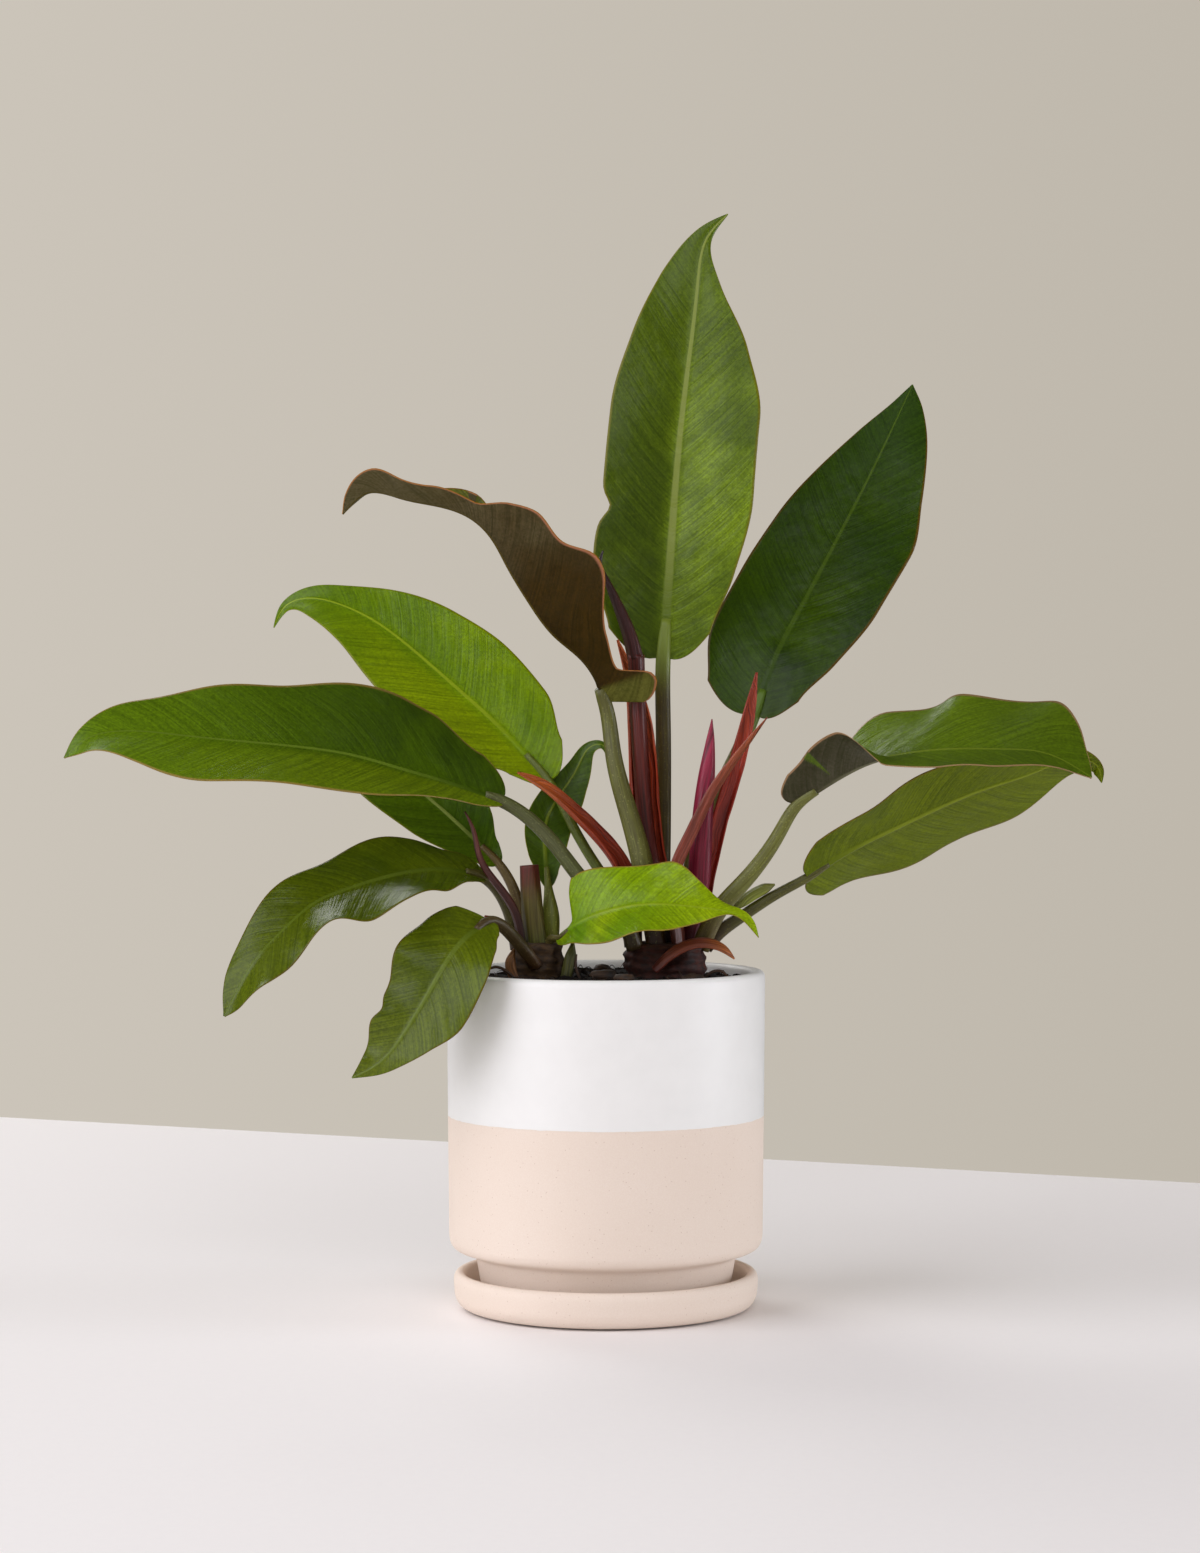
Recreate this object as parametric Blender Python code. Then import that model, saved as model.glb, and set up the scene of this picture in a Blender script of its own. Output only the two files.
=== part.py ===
"""A philodendron in a two-tone stoneware pot on its saucer, at its real size in metres, +Z up.

The origin is the middle of the saucer's flat underside. Two crowns grow from the potting mix; each leaf
is a blade on its own petiole, and the red sheaths that wrapped the young leaves stand between them.
All the lists below are in millimetres.
"""
import math

import bmesh
import bpy
import numpy as np
from mathutils import Vector

MM = 0.001
GAP = 0.3               # clearance between pieces that touch or rest on each other

# ---------------------------------------------------------------- pot and saucer
POT_TOP = 174.6         # height of the rim above the table
POT_RADIUS = 82.5       # outside, at the rim
POT_TAPER = 1.2         # the wall is this much slimmer at its lower corner
WALL = 7.5
RIM_ROUND = 2.6
WALL_CORNER = 35.5      # height where the wall turns in to the foot
FOOT_STEP = 13.8        # from the wall's lower corner in to the foot
FOOT_DRAW = 3.5         # the foot narrows by this on its way down
FOOT_TOP = 28.0
POT_FLOOR = 9.0
DRAIN_RADIUS = 6.5
SAUCER_ROOM = 8.6       # from the foot out to the saucer's wall
SAUCER_HEIGHT = 19.0
SAUCER_WALL = 6.4
SAUCER_FLOOR = 6.0
SAUCER_HEEL = 8.0       # the flat underside stops this far inside the saucer's edge
ROUND_STEPS = 44        # sides of a turned piece
FOOT_TOP_RADIUS = POT_RADIUS - POT_TAPER - FOOT_STEP
FOOT_RADIUS = FOOT_TOP_RADIUS - FOOT_DRAW
SAUCER_RADIUS = FOOT_RADIUS + SAUCER_ROOM + SAUCER_WALL

# ---------------------------------------------------------------- soil and crowns
SOIL_DEPTH = 3.9        # from the rim down to the middle of the soil
SOIL_EDGE_DROP = 2.2
CROWN_HEIGHT = 17.0
MAIN_CROWN = (31.0, 0.0)
MAIN_CROWN_RADIUS = 21.5
SIDE_CROWN = (-35.0, -8.0)
SIDE_CROWN_RADIUS = 13.5

# The sizes that the plant's routes below were set out at; when one changes, follow() moves the routes.
SET_OUT_SOIL = 170.7
SET_OUT_CROWN = 17.0
SET_OUT_RADII = (21.5, 13.5)
SET_OUT_RIM = 82.5
BESIDE = ("root_", "scale_", "bark_", "sheath_low_front", "hanging_front")

# ---------------------------------------------------------------- leaves
BLADE_THICKNESS = 1.0
RIB_DEPTH = 1.6         # how far the midrib stands out below the blade at its base
BLADE_ROWS = 12
BLADE_COLUMNS = (-1.0, -0.7, -0.38, -0.1, 0.0, 0.1, 0.38, 0.7, 1.0)
STATIONS = (0.0, 0.08, 0.2, 0.35, 0.5, 0.65, 0.8, 0.92, 1.0)
TIP_HALF_WIDTH = 0.7
PETIOLE_STOP = 1.0      # the petiole stops this far short of the blade's base, clear of its lobes
PETIOLE_SIDES = 7

# Each leaf: the midrib's route from base to tip; where the upper face looks at the base, middle and tip;
# half widths to the right and left of the midrib at the stations between base and tip; how many degrees
# each half folds up at the base, middle and tip; how far the side veins lean back at the base and
# forward at the tip; then the petiole's route and its radius at each point.
LEAVES = {
    "top": dict(
        midrib=[(30, 16, 337), (33, 21, 378), (36, 27, 420), (40, 33, 463), (45, 40, 503), (49, 46, 538),
                (54, 50, 561), (65, 53, 574)],
        face=[(0, -1, -0.1), (0, -1, 0), (0, -1, 0.1)],
        right=(22, 34, 43, 43, 31, 13, 3), left=(23, 39, 39, 38, 32, 20, 7),
        fold_right=(8, 8, 5), fold_left=(8, 8, 5), lean=(-0.3, 0.55),
        petiole=[(27, 16, 188.3), (29, 16, 215), (30, 16, 260), (30, 16, 300), (30, 16, 336.6)],
        radius=(4.6, 4.3, 4.1, 4.0, 3.7)),
    "upper_right": dict(
        midrib=[(78, 25, 307), (89, 33, 336), (106, 48, 368), (124, 63, 401), (139, 76, 429), (155, 89, 461),
                (168, 100, 488)],
        face=[(-0.25, -0.9, 0.3), (-0.25, -0.9, 0.2), (-0.2, -0.9, 0.1)],
        right=(20, 33, 42, 42, 33, 22, 10), left=(25, 35, 38, 34, 27, 16, 6),
        fold_right=(10, 10, 5), fold_left=(10, 10, 5), lean=(-0.3, 0.55),
        petiole=[(40, 15.5, 188.3), (42, 16, 213), (50, 18.5, 245), (66, 22, 281), (77.8, 25, 306.6)],
        radius=(4.2, 4.2, 4.0, 3.7, 3.4)),
    "right": dict(
        midrib=[(99, -12, 261), (117, -20, 273), (134, -28, 282), (154, -39, 287), (174, -47, 289),
                (198, -57, 289), (219, -67, 287), (241, -74, 275)],
        face=[(0, -0.36, 0.93), (0, -0.36, 0.93), (0, -0.36, 0.93)],
        right=(18, 28, 38, 44, 42, 25, 10), left=(20, 36, 48, 44, 35, 19, 7),
        fold_right=(60, 7, 7), fold_left=(15, 15, 12), lean=(-0.2, 0.5),
        petiole=[(48.5, -7, 188.3), (59, -9, 207), (70, -10, 219.5), (90, -11, 247), (98.7, -12, 260.6)],
        radius=(4.8, 4.6, 4.3, 3.5, 3.1)),
    "right_low": dict(
        midrib=[(105, 10, 222), (128, 17, 236), (149, 24, 246), (171, 30, 256), (201, 38, 268), (231, 45, 278),
                (250, 48, 284), (262, 48, 280), (264, 47, 271)],
        face=[(0, 0.6, 0.8), (0, 0.6, 0.8), (0, 0.5, 0.86)],
        right=(15, 26, 31, 30, 24, 14, 5), left=(10, 22, 34, 40, 38, 24, 8),
        fold_right=(10, 10, 5), fold_left=(0, 0, 0), lean=(-0.2, 0.5),
        petiole=[(51.5, 4, 188.3), (58, 5, 193), (67, 6, 199.5), (90, 8, 214), (104.7, 10, 221.7)],
        radius=(4.0, 3.8, 3.3, 2.7, 2.4)),
    "arching_left": dict(
        midrib=[(-1, -8, 314), (-5, -14, 325), (-13, -20, 336), (-26, -27, 347), (-39, -34, 364), (-50, -41, 382),
                (-58, -45, 396), (-69, -50, 406), (-83, -54, 411), (-103, -57, 415), (-119, -58, 418),
                (-132, -58, 407)],
        face=[(0.7, 0.1, 0.7), (0.6, 0.1, 0.75), (0.2, 0.3, 0.9), (0.2, 0.3, 0.9)],
        right=(14, 18, 19, 17, 14, 10, 5), left=(16, 28, 28, 21, 11, 17, 8),
        fold_right=(-15, -10, -5), fold_left=(55, 50, 30), lean=(-0.2, 0.5),
        petiole=[(26.5, -9.5, 188.3), (22.5, -10, 210), (19, -10, 229), (12, -9.5, 255), (4, -8.8, 285),
                 (-0.9, -8, 313.6)],
        radius=(5.2, 5.4, 5.6, 5.0, 4.3, 3.7)),
    "bright_left": dict(
        midrib=[(-30, 25, 272), (-56, 38, 300), (-78, 48, 320), (-100, 60, 339), (-122, 70, 356), (-144, 80, 367),
                (-167, 88, 370), (-175, 91, 366), (-181, 92, 355)],
        face=[(0.1, -0.8, 0.55), (0.1, -0.8, 0.55), (0.1, -0.8, 0.5)],
        right=(20, 32, 36, 31, 22, 10, 3), left=(16, 32, 38, 34, 26, 14, 4),
        fold_right=(12, 12, 5), fold_left=(12, 12, 5), lean=(-0.2, 0.5),
        petiole=[(13, 9, 188.3), (8, 10, 207), (-3, 13, 225), (-18, 18, 250), (-29.6, 24.8, 271.6)],
        radius=(3.2, 3.0, 2.8, 2.6, 2.3)),
    "long_left": dict(
        midrib=[(-53, -15, 262), (-70, -20, 268), (-85, -25, 273), (-105, -32, 279), (-125, -39, 285),
                (-154, -50, 290), (-183, -60, 293), (-212, -70, 296), (-241, -79, 298), (-257, -84, 294),
                (-267, -87, 285)],
        face=[(0, -0.66, 0.75), (0, -0.66, 0.75), (0, -0.66, 0.75)],
        right=(25, 43, 46, 40, 32, 21, 8), left=(12, 24, 38, 43, 42, 28, 12),
        fold_right=(17, 17, 10), fold_left=(17, 17, 10), lean=(-0.25, 0.55),
        petiole=[(15, -12, 188.3), (7, -13, 204), (-7, -13, 216.5), (-24, -14, 237), (-52, -15, 261)],
        radius=(4.2, 4.1, 4.0, 3.8, 3.3)),
    "back_left": dict(
        midrib=[(-56, 14, 229), (-74, 22, 246), (-90, 30, 260), (-109, 39, 275), (-128, 48, 290), (-145, 56, 303)],
        face=[(0.1, -0.8, 0.55), (0.1, -0.8, 0.55), (0.1, -0.8, 0.55)],
        right=(8, 17, 25, 28, 24, 17, 7), left=(11, 18, 25, 27, 25, 17, 7),
        fold_right=(12, 12, 8), fold_left=(12, 12, 8), lean=(-0.2, 0.5),
        petiole=[(-42, 3, 188.3), (-46, 7, 210), (-55.8, 13.8, 228.6)],
        radius=(3.2, 2.9, 2.4)),
    "drooping_left": dict(
        midrib=[(-63, -14, 223), (-80, -22, 227), (-95, -30, 227), (-112, -40, 224), (-132, -50, 218),
                (-146, -59, 212), (-160, -67, 200), (-173, -74, 186), (-182, -78, 171), (-189, -80, 157)],
        face=[(-0.1, -0.5, 0.85), (-0.2, -0.55, 0.8), (-0.55, -0.6, 0.55)],
        right=(15, 24, 25, 22, 20, 15, 7), left=(15, 25, 28, 30, 22, 19, 9),
        fold_right=(15, 15, 8), fold_left=(15, 15, 8), lean=(-0.2, 0.5),
        petiole=[(-45.5, -10, 188.3), (-49, -11, 203), (-62.6, -13.8, 222.7)],
        radius=(3.8, 3.6, 3.0)),
    "hanging_front": dict(
        midrib=[(-59, -42, 202), (-72, -58, 193), (-81, -66, 181), (-89, -69, 167), (-100, -69, 149),
                (-114, -67, 132), (-127, -65, 125)],
        face=[(-0.3, -0.6, 0.75), (-0.45, -0.85, 0.3), (-0.45, -0.85, 0.1)],
        right=(17, 23, 22, 19, 16, 9, 4), left=(9, 16, 22, 23, 16, 7, 3),
        fold_right=(8, 8, 5), fold_left=(8, 8, 5), lean=(-0.2, 0.5),
        petiole=[(-38.1, -23.9, 181), (-46, -31, 192), (-58.7, -41.6, 201.8)],
        radius=(3.2, 3.4, 2.8)),
    "small_back": dict(
        midrib=[(-30, 6, 217), (-32, 18, 236), (-31, 28, 252), (-22, 34, 268), (-14, 36, 281), (-8, 35, 290),
                (-2, 33, 291), (1, 32, 284)],
        face=[(0, -0.95, 0.2), (0, -0.95, 0.2), (0, -0.8, 0.5)],
        right=(6, 11, 14, 14, 10, 5, 2), left=(5, 9, 11, 10, 7, 4, 2),
        fold_right=(5, 5, 5), fold_left=(15, 15, 10), lean=(-0.2, 0.5),
        petiole=[(-28, 1, 188.3), (-28.5, 2, 201), (-30, 5.8, 216.6)],
        radius=(3.0, 4.4, 2.0)),
    "small_front": dict(
        midrib=[(-25, -20, 192), (-13, -28, 201), (2, -34, 207), (17, -38, 210), (37, -42, 210), (56, -44, 208),
                (65, -45, 206), (73, -45, 200), (77, -45, 194)],
        face=[(0.1, -0.75, 0.65), (0, -0.75, 0.65), (0.1, -0.75, 0.65)],
        right=(9, 20, 28, 26, 15, 5, 3), left=(8, 15, 20, 18, 11, 5, 3),
        fold_right=(10, 10, 5), fold_left=(10, 10, 5), lean=(-0.2, 0.5),
        petiole=[(-29.5, -13, 188.3), (-28.6, -14.8, 191.1), (-25.4, -19.3, 191.9)],
        radius=(2.0, 2.2, 1.5)),
}

# ---------------------------------------------------------------- young leaf, sheaths and scales
# Solid tapering pieces: route and radius at each point.
SPEARS = {
    "leaf_furled": dict(
        route=[(15.6, 2, 338), (12, 2, 349), (6, 2, 364), (0, 2, 377), (-3, 2, 386), (-1.5, 2, 392)],
        radius=(4.1, 3.7, 2.7, 1.6, 1.0, 0.5)),
    "petiole_furled": dict(
        route=[(31, 0, 188.3), (28, 1, 212), (23.5, 2, 232), (19, 2, 270), (17, 2, 300), (15.7, 2, 337.6)],
        radius=(4.2, 4.2, 4.2, 4.2, 4.2, 4.2)),
    "spear_crimson": dict(
        route=[(41, 1, 188.3), (46.5, 2, 205), (48.7, 2, 225), (50, 2, 250), (52, 2, 273), (54, 2, 292),
               (55, 2, 304.6)],
        radius=(3.8, 4.4, 5.8, 5.4, 4.4, 2.4, 0.5)),
    "sheath_axil_right": dict(
        route=[(66, 4, 205.5), (74, 5.5, 211.5), (82, 7, 216), (88, 8, 218.5)], radius=(1.2, 3.0, 2.8, 0.7)),
    "sheath_dried": dict(
        route=[(-43, -18, 188.3), (-47, -18, 206), (-57, -19, 221), (-65, -19, 234), (-68, -18, 247),
               (-72.5, -17, 257)], radius=(2.2, 2.1, 1.9, 1.5, 1.1, 0.6)),
    "stub_side": dict(
        route=[(-36, -5, 188.3), (-38.5, -5, 210), (-40, -5, 230)], radius=(4.8, 5.0, 4.6)),
    "scale_red": dict(
        route=[(-50.2, -29.4, 196), (-55, -29.8, 201), (-62, -30.4, 204)], radius=(1.0, 1.6, 0.6)),
    "scale_left": dict(
        route=[(-46, -23, 171), (-49, -23.5, 179), (-47, -24, 187)], radius=(2.0, 2.6, 0.9)),
    "scale_right": dict(
        route=[(-21, -22, 171), (-18.5, -20.5, 181), (-17, -19, 190)], radius=(2.6, 3.0, 1.2)),
    "root_left": dict(
        route=[(-46, -28, 171.6), (-51, -30, 176), (-57, -31, 178)], radius=(0.7, 0.7, 0.6)),
    "root_middle": dict(
        route=[(-13, -23, 171.6), (-15.5, -22.5, 178), (-15, -22, 184)], radius=(0.7, 0.6, 0.6)),
    "root_right": dict(
        route=[(40, -27, 171.6), (44, -30, 174.5), (48, -33, 171.7)], radius=(0.8, 0.8, 0.7)),
    "root_far_right": dict(
        route=[(50, -23, 171.6), (54, -25, 175), (59, -26, 175.5)], radius=(0.8, 0.7, 0.6)),
}

# Open sheaths: a half tube along a route, the radius at each point and the way its groove looks.
SHEATHS = {
    "sheath_left": dict(
        route=[(15.5, -1, 188.3), (14, 0, 205), (10, 1, 225), (-2, 2, 243), (-16, 2, 257), (-33, 3, 271),
               (-46, 4, 277)],
        radius=(4.0, 5.4, 7.0, 7.0, 6.2, 5.0, 2.6), groove=(0.2, -1, 0.4)),
    "sheath_centre": dict(
        route=[(31, 4.5, 188.3), (28.2, 5.2, 212), (24, 5.8, 232), (20, 6, 270), (18, 7.2, 300),
               (12, 10, 329), (6, 10.5, 346)],
        radius=(6.8, 7.0, 7.3, 7.3, 6.2, 2.8, 0.9), groove=(0, -1, 0)),
    "sheath_right_tall": dict(
        route=[(47.5, 11, 188.3), (51.5, 12.5, 215), (57, 12, 243), (68, 9.5, 281), (74, 9, 305), (78.5, 9, 329)],
        radius=(3.6, 4.2, 4.4, 4.2, 3.4, 1.2), groove=(0.3, -1, 0)),
    "sheath_crossing": dict(
        route=[(38, -10, 188.3), (35, -12, 207), (35, -12.5, 226), (42, -12.5, 243), (53, -12, 265),
               (69, -11.5, 288), (83, -10.5, 305.5)],
        radius=(4.6, 5.2, 5.8, 5.8, 5.4, 3.8, 1.4), groove=(-0.6, 0.2, 0.8)),
    "sheath_low_front": dict(
        route=[(25, -24.6, 176), (36, -26, 186), (50, -27, 190), (60, -28, 187), (65.5, -28, 182)],
        radius=(3.4, 4.2, 4.0, 2.8, 0.9), groove=(0.1, 0.3, -1)),
}
SHEATH_WALL = 1.5
SHEATH_HALF_ANGLE = 118  # degrees each way from the middle of the sheath's back

# Bark chips on the soil: middle, length, width, height and turn about Z in degrees.
BARK = {
    "bark_1": ((-1, -28, 0), 17, 8, 6, 24),
    "bark_2": ((9, -41, 0), 13, 7, 4, -40),
    "bark_3": ((-2, 24, 0), 15, 9, 5, 70),
    "bark_4": ((44, -40, 0), 12, 7, 4, 10),
}


# ================================================================ helpers
def clear_scene():
    for item in list(bpy.data.objects):
        bpy.data.objects.remove(item, do_unlink=True)


def finish(material_name, colour, roughness, metallic=0.0):
    """A Principled material; colour is linear RGB."""
    material = bpy.data.materials.new(material_name)
    material.use_nodes = True
    shader = material.node_tree.nodes["Principled BSDF"]
    shader.inputs["Base Color"].default_value = (*colour, 1.0)
    shader.inputs["Roughness"].default_value = roughness
    shader.inputs["Metallic"].default_value = metallic
    return material


def add_object(name, bm, material, location=(0, 0, 0)):
    """Close the bmesh into a named object; the mesh is in metres around the given place."""
    bmesh.ops.recalc_face_normals(bm, faces=bm.faces)
    mesh = bpy.data.meshes.new(name)
    bm.to_mesh(mesh)
    bm.free()
    mesh.shade_smooth()
    mesh.set_sharp_from_angle(angle=math.radians(40))
    piece = bpy.data.objects.new(name, mesh)
    piece.location = [value * MM for value in location]
    mesh.materials.append(material)
    bpy.context.collection.objects.link(piece)
    return piece


def spline(points, amounts):
    """Points on a smooth curve through the given points, at fractions of the way along."""
    points = np.asarray(points, float)
    steps = np.linalg.norm(np.diff(points, axis=0), axis=1)
    knots = np.concatenate(([0.0], np.cumsum(steps))) / steps.sum()
    count = len(knots)
    spans = np.diff(knots)
    matrix = np.eye(count)
    right = np.zeros((count, points.shape[1]))
    for i in range(1, count - 1):
        matrix[i, i - 1:i + 2] = (spans[i - 1], 2 * (spans[i - 1] + spans[i]), spans[i])
        right[i] = 3 * ((points[i + 1] - points[i]) / spans[i] - (points[i] - points[i - 1]) / spans[i - 1])
    bend = np.linalg.solve(matrix, right)
    amounts = np.clip(np.asarray(amounts, float), 0, 1)
    k = np.clip(np.searchsorted(knots, amounts, side="right") - 1, 0, count - 2)
    s = (amounts - knots[k])[:, None]
    span = spans[k][:, None]
    slope = (points[k + 1] - points[k]) / span - span * (2 * bend[k] + bend[k + 1]) / 3
    return points[k] + slope * s + bend[k] * s ** 2 + (bend[k + 1] - bend[k]) / (3 * span) * s ** 3


def knots_of(points):
    steps = np.linalg.norm(np.diff(np.asarray(points, float), axis=0), axis=1)
    return np.concatenate(([0.0], np.cumsum(steps))) / steps.sum()


def eased(stations, values, amounts):
    """Smooth values between stations, without overshooting them."""
    stations, values = np.asarray(stations, float), np.asarray(values, float)
    rise = np.diff(values) / np.diff(stations)
    slope = np.zeros(len(values))
    for i in range(1, len(values) - 1):
        if rise[i - 1] * rise[i] > 0:
            slope[i] = 2 * rise[i - 1] * rise[i] / (rise[i - 1] + rise[i])
    slope[0], slope[-1] = rise[0], rise[-1]
    k = np.clip(np.searchsorted(stations, amounts, side="right") - 1, 0, len(values) - 2)
    span = stations[k + 1] - stations[k]
    u = (amounts - stations[k]) / span
    return ((2 * u ** 3 - 3 * u ** 2 + 1) * values[k] + (u ** 3 - 2 * u ** 2 + u) * span * slope[k]
            + (3 * u ** 2 - 2 * u ** 3) * values[k + 1] + (u ** 3 - u ** 2) * span * slope[k + 1])


def unit(vectors):
    return vectors / np.linalg.norm(vectors, axis=-1, keepdims=True)


def follow(points, name=""):
    """Move a route's points with the soil, the crowns and the pot's rim if their sizes were changed.

    What stands on a crown only rises with it. What lies beside a crown or by the rim also keeps its
    distance from them.
    """
    points = np.array(points, float)
    moved = np.zeros_like(points)
    if name.startswith(BESIDE):
        sides = []
        for centre, radius, listed in ((MAIN_CROWN, MAIN_CROWN_RADIUS, SET_OUT_RADII[0]),
                                       (SIDE_CROWN, SIDE_CROWN_RADIUS, SET_OUT_RADII[1])):
            away = points[:, :2] - centre
            reach = np.linalg.norm(away, axis=1, keepdims=True)
            sides.append((reach - listed, away / reach * (radius - listed)))
        moved[:, :2] += np.where(sides[0][0] < sides[1][0], sides[0][1], sides[1][1])
        out = np.linalg.norm(points[:, :2], axis=1, keepdims=True)
        moved[:, :2] += points[:, :2] / out * np.clip((out - 46) / 20, 0, 1) * (POT_RADIUS - SET_OUT_RIM)
    rise = np.clip((points[:, 2] - SET_OUT_SOIL - 0.9) / (SET_OUT_CROWN - 0.9), 0, 1)
    moved[:, 2] = POT_TOP - SOIL_DEPTH - SET_OUT_SOIL + rise * (CROWN_HEIGHT - SET_OUT_CROWN)
    return points + moved


def loft(name, rings, material, location=(0, 0, 0)):
    """Skin a row of equal rings of points into one closed solid, with flat ends."""
    bm = bmesh.new()
    loops = [[bm.verts.new(Vector(point) * MM) for point in ring] for ring in rings]
    sides = len(loops[0])
    for low, high in zip(loops, loops[1:]):
        for i in range(sides):
            j = (i + 1) % sides
            bm.faces.new((low[i], low[j], high[j], high[i]))
    bm.faces.new(loops[0][::-1])
    bm.faces.new(loops[-1])
    bmesh.ops.triangulate(bm, faces=bm.faces)
    return add_object(name, bm, material, location)


def turned(name, profile, material, location=(0, 0, 0), steps=ROUND_STEPS):
    """Spin a profile of (radius, height) about Z into one closed solid."""
    bm = bmesh.new()
    points = [bm.verts.new((radius * MM, 0, height * MM)) for radius, height in profile]
    edges = [bm.edges.new(pair) for pair in zip(points, points[1:])]
    if profile[0][0] > 0:
        edges.append(bm.edges.new((points[-1], points[0])))
    bmesh.ops.spin(bm, geom=points + edges, axis=(0, 0, 1), cent=(0, 0, 0), angle=2 * math.pi,
                   steps=steps, use_merge=True)
    bmesh.ops.remove_doubles(bm, verts=bm.verts, dist=0.00002)
    return add_object(name, bm, material, location)


def swept_rings(route, radii, sides, rows, stop=0.0):
    """Round rings square to a route, their size following the radii given at the route's points.

    The first ring is levelled, so the piece sits flat on what it grows from; stop cuts that many
    millimetres off the far end.
    """
    length = np.sum(np.linalg.norm(np.diff(np.asarray(route, float), axis=0), axis=1))
    amounts = np.linspace(0, 1 - stop / length, rows)
    middle = spline(route, amounts)
    ahead = unit(spline(route, amounts + 0.002) - spline(route, amounts - 0.002))
    size = eased(knots_of(route), radii, amounts)
    side = unit(np.cross(ahead[0], (0.3, 1.0, 0.1)))
    rings = []
    for centre, along, radius in zip(middle, ahead, size):
        side = unit(side - along * np.dot(side, along))
        up = np.cross(along, side)
        turns = np.linspace(0, 2 * math.pi, sides, endpoint=False)
        rings.append([centre + radius * (math.cos(a) * side + math.sin(a) * up) for a in turns])
    rings[0] = level_ring(rings[0], route[0][2])
    return rings


def level_ring(ring, height):
    return [np.array((point[0], point[1], height)) for point in ring]


# ================================================================ pot, saucer, soil
def build_saucer():
    inside = SAUCER_RADIUS - SAUCER_WALL
    top, floor = SAUCER_HEIGHT, SAUCER_FLOOR
    profile = [(0, floor), (inside - 3, floor), (inside - 0.9, floor + 1), (inside, floor + 3.2),
               (inside + 0.2, top - 2.4), (inside + 1.1, top - 0.7), (inside + 3, top),
               (SAUCER_RADIUS - 1.4, top - 0.7), (SAUCER_RADIUS - 0.3, top - 2.4), (SAUCER_RADIUS, top - 5),
               (SAUCER_RADIUS - 0.6, 6.5), (SAUCER_RADIUS - 2.2, 3), (SAUCER_RADIUS - 4.6, 0.9),
               (SAUCER_RADIUS - SAUCER_HEEL, 0), (0, 0)]
    turned("saucer", profile, finish("blush_stoneware_saucer", (0.78, 0.62, 0.53), 0.8))


def build_pot():
    """The wall steps in to a foot that stands in the saucer; the inside follows it at the wall's depth."""
    foot = SAUCER_FLOOR + GAP
    outside, low = POT_RADIUS, POT_RADIUS - POT_TAPER
    inside = outside - WALL
    low_inside = low - WALL
    floor = foot + POT_FLOOR
    cup = FOOT_TOP_RADIUS - WALL - 2
    profile = [(outside, POT_TOP - RIM_ROUND - 0.4), (outside - 0.8, POT_TOP - 0.9), (outside - RIM_ROUND, POT_TOP),
               (inside + RIM_ROUND, POT_TOP), (inside + 0.8, POT_TOP - 0.9), (inside, POT_TOP - RIM_ROUND - 0.4),
               (low_inside, WALL_CORNER + 16), (low_inside - 2, WALL_CORNER + 10.5), (low_inside - 8, WALL_CORNER + 6),
               (cup + 2, WALL_CORNER + 3), (cup, WALL_CORNER - 1.5), (cup - 1.5, floor + 3), (cup - 4, floor),
               (DRAIN_RADIUS, floor), (DRAIN_RADIUS, foot), (FOOT_RADIUS - 1.5, foot), (FOOT_RADIUS, foot + 1.4),
               (FOOT_TOP_RADIUS, FOOT_TOP - 1.2), (FOOT_TOP_RADIUS + 2.4, FOOT_TOP + 0.4),
               (low - 2.6, WALL_CORNER - 4.4), (low - 0.5, WALL_CORNER - 1.4), (low, WALL_CORNER + 2)]
    turned("pot", profile, finish("two_tone_stoneware", (0.80, 0.79, 0.78), 0.55))


def build_potting_mix():
    """The soil fills the pot to just under the rim and stands clear of the wall by the gap."""
    foot = SAUCER_FLOOR + GAP
    floor = foot + POT_FLOOR + GAP
    low_inside = POT_RADIUS - POT_TAPER - WALL - GAP
    cup = FOOT_TOP_RADIUS - WALL - 2 - GAP
    top = POT_TOP - SOIL_DEPTH
    edge = POT_RADIUS - WALL - GAP - 0.1
    profile = [(0, top), (58, top), (edge, top - SOIL_EDGE_DROP), (low_inside, WALL_CORNER + 16),
               (low_inside - 2, WALL_CORNER + 10.7), (low_inside - 8, WALL_CORNER + 6.4),
               (cup + 2, WALL_CORNER + 3.3), (cup, WALL_CORNER - 1.2), (cup - 1.5, floor + 3),
               (cup - 4, floor), (0, floor)]
    turned("potting_mix", profile, finish("potting_mix", (0.022, 0.014, 0.009), 0.95))


def build_crown(name, centre, radius, colour):
    """The short thick stem a crown's petioles stand on."""
    base = POT_TOP - SOIL_DEPTH + GAP
    top = base + CROWN_HEIGHT
    profile = [(0, top), (radius - 1.5, top), (radius, top - 1.5), (radius - 0.5, top - 8),
               (radius - 2.5, base + 2), (radius - 3, base), (0, base)]
    turned(name, profile, finish(name + "_bark", colour, 0.8), (*centre, 0), steps=20)


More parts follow.
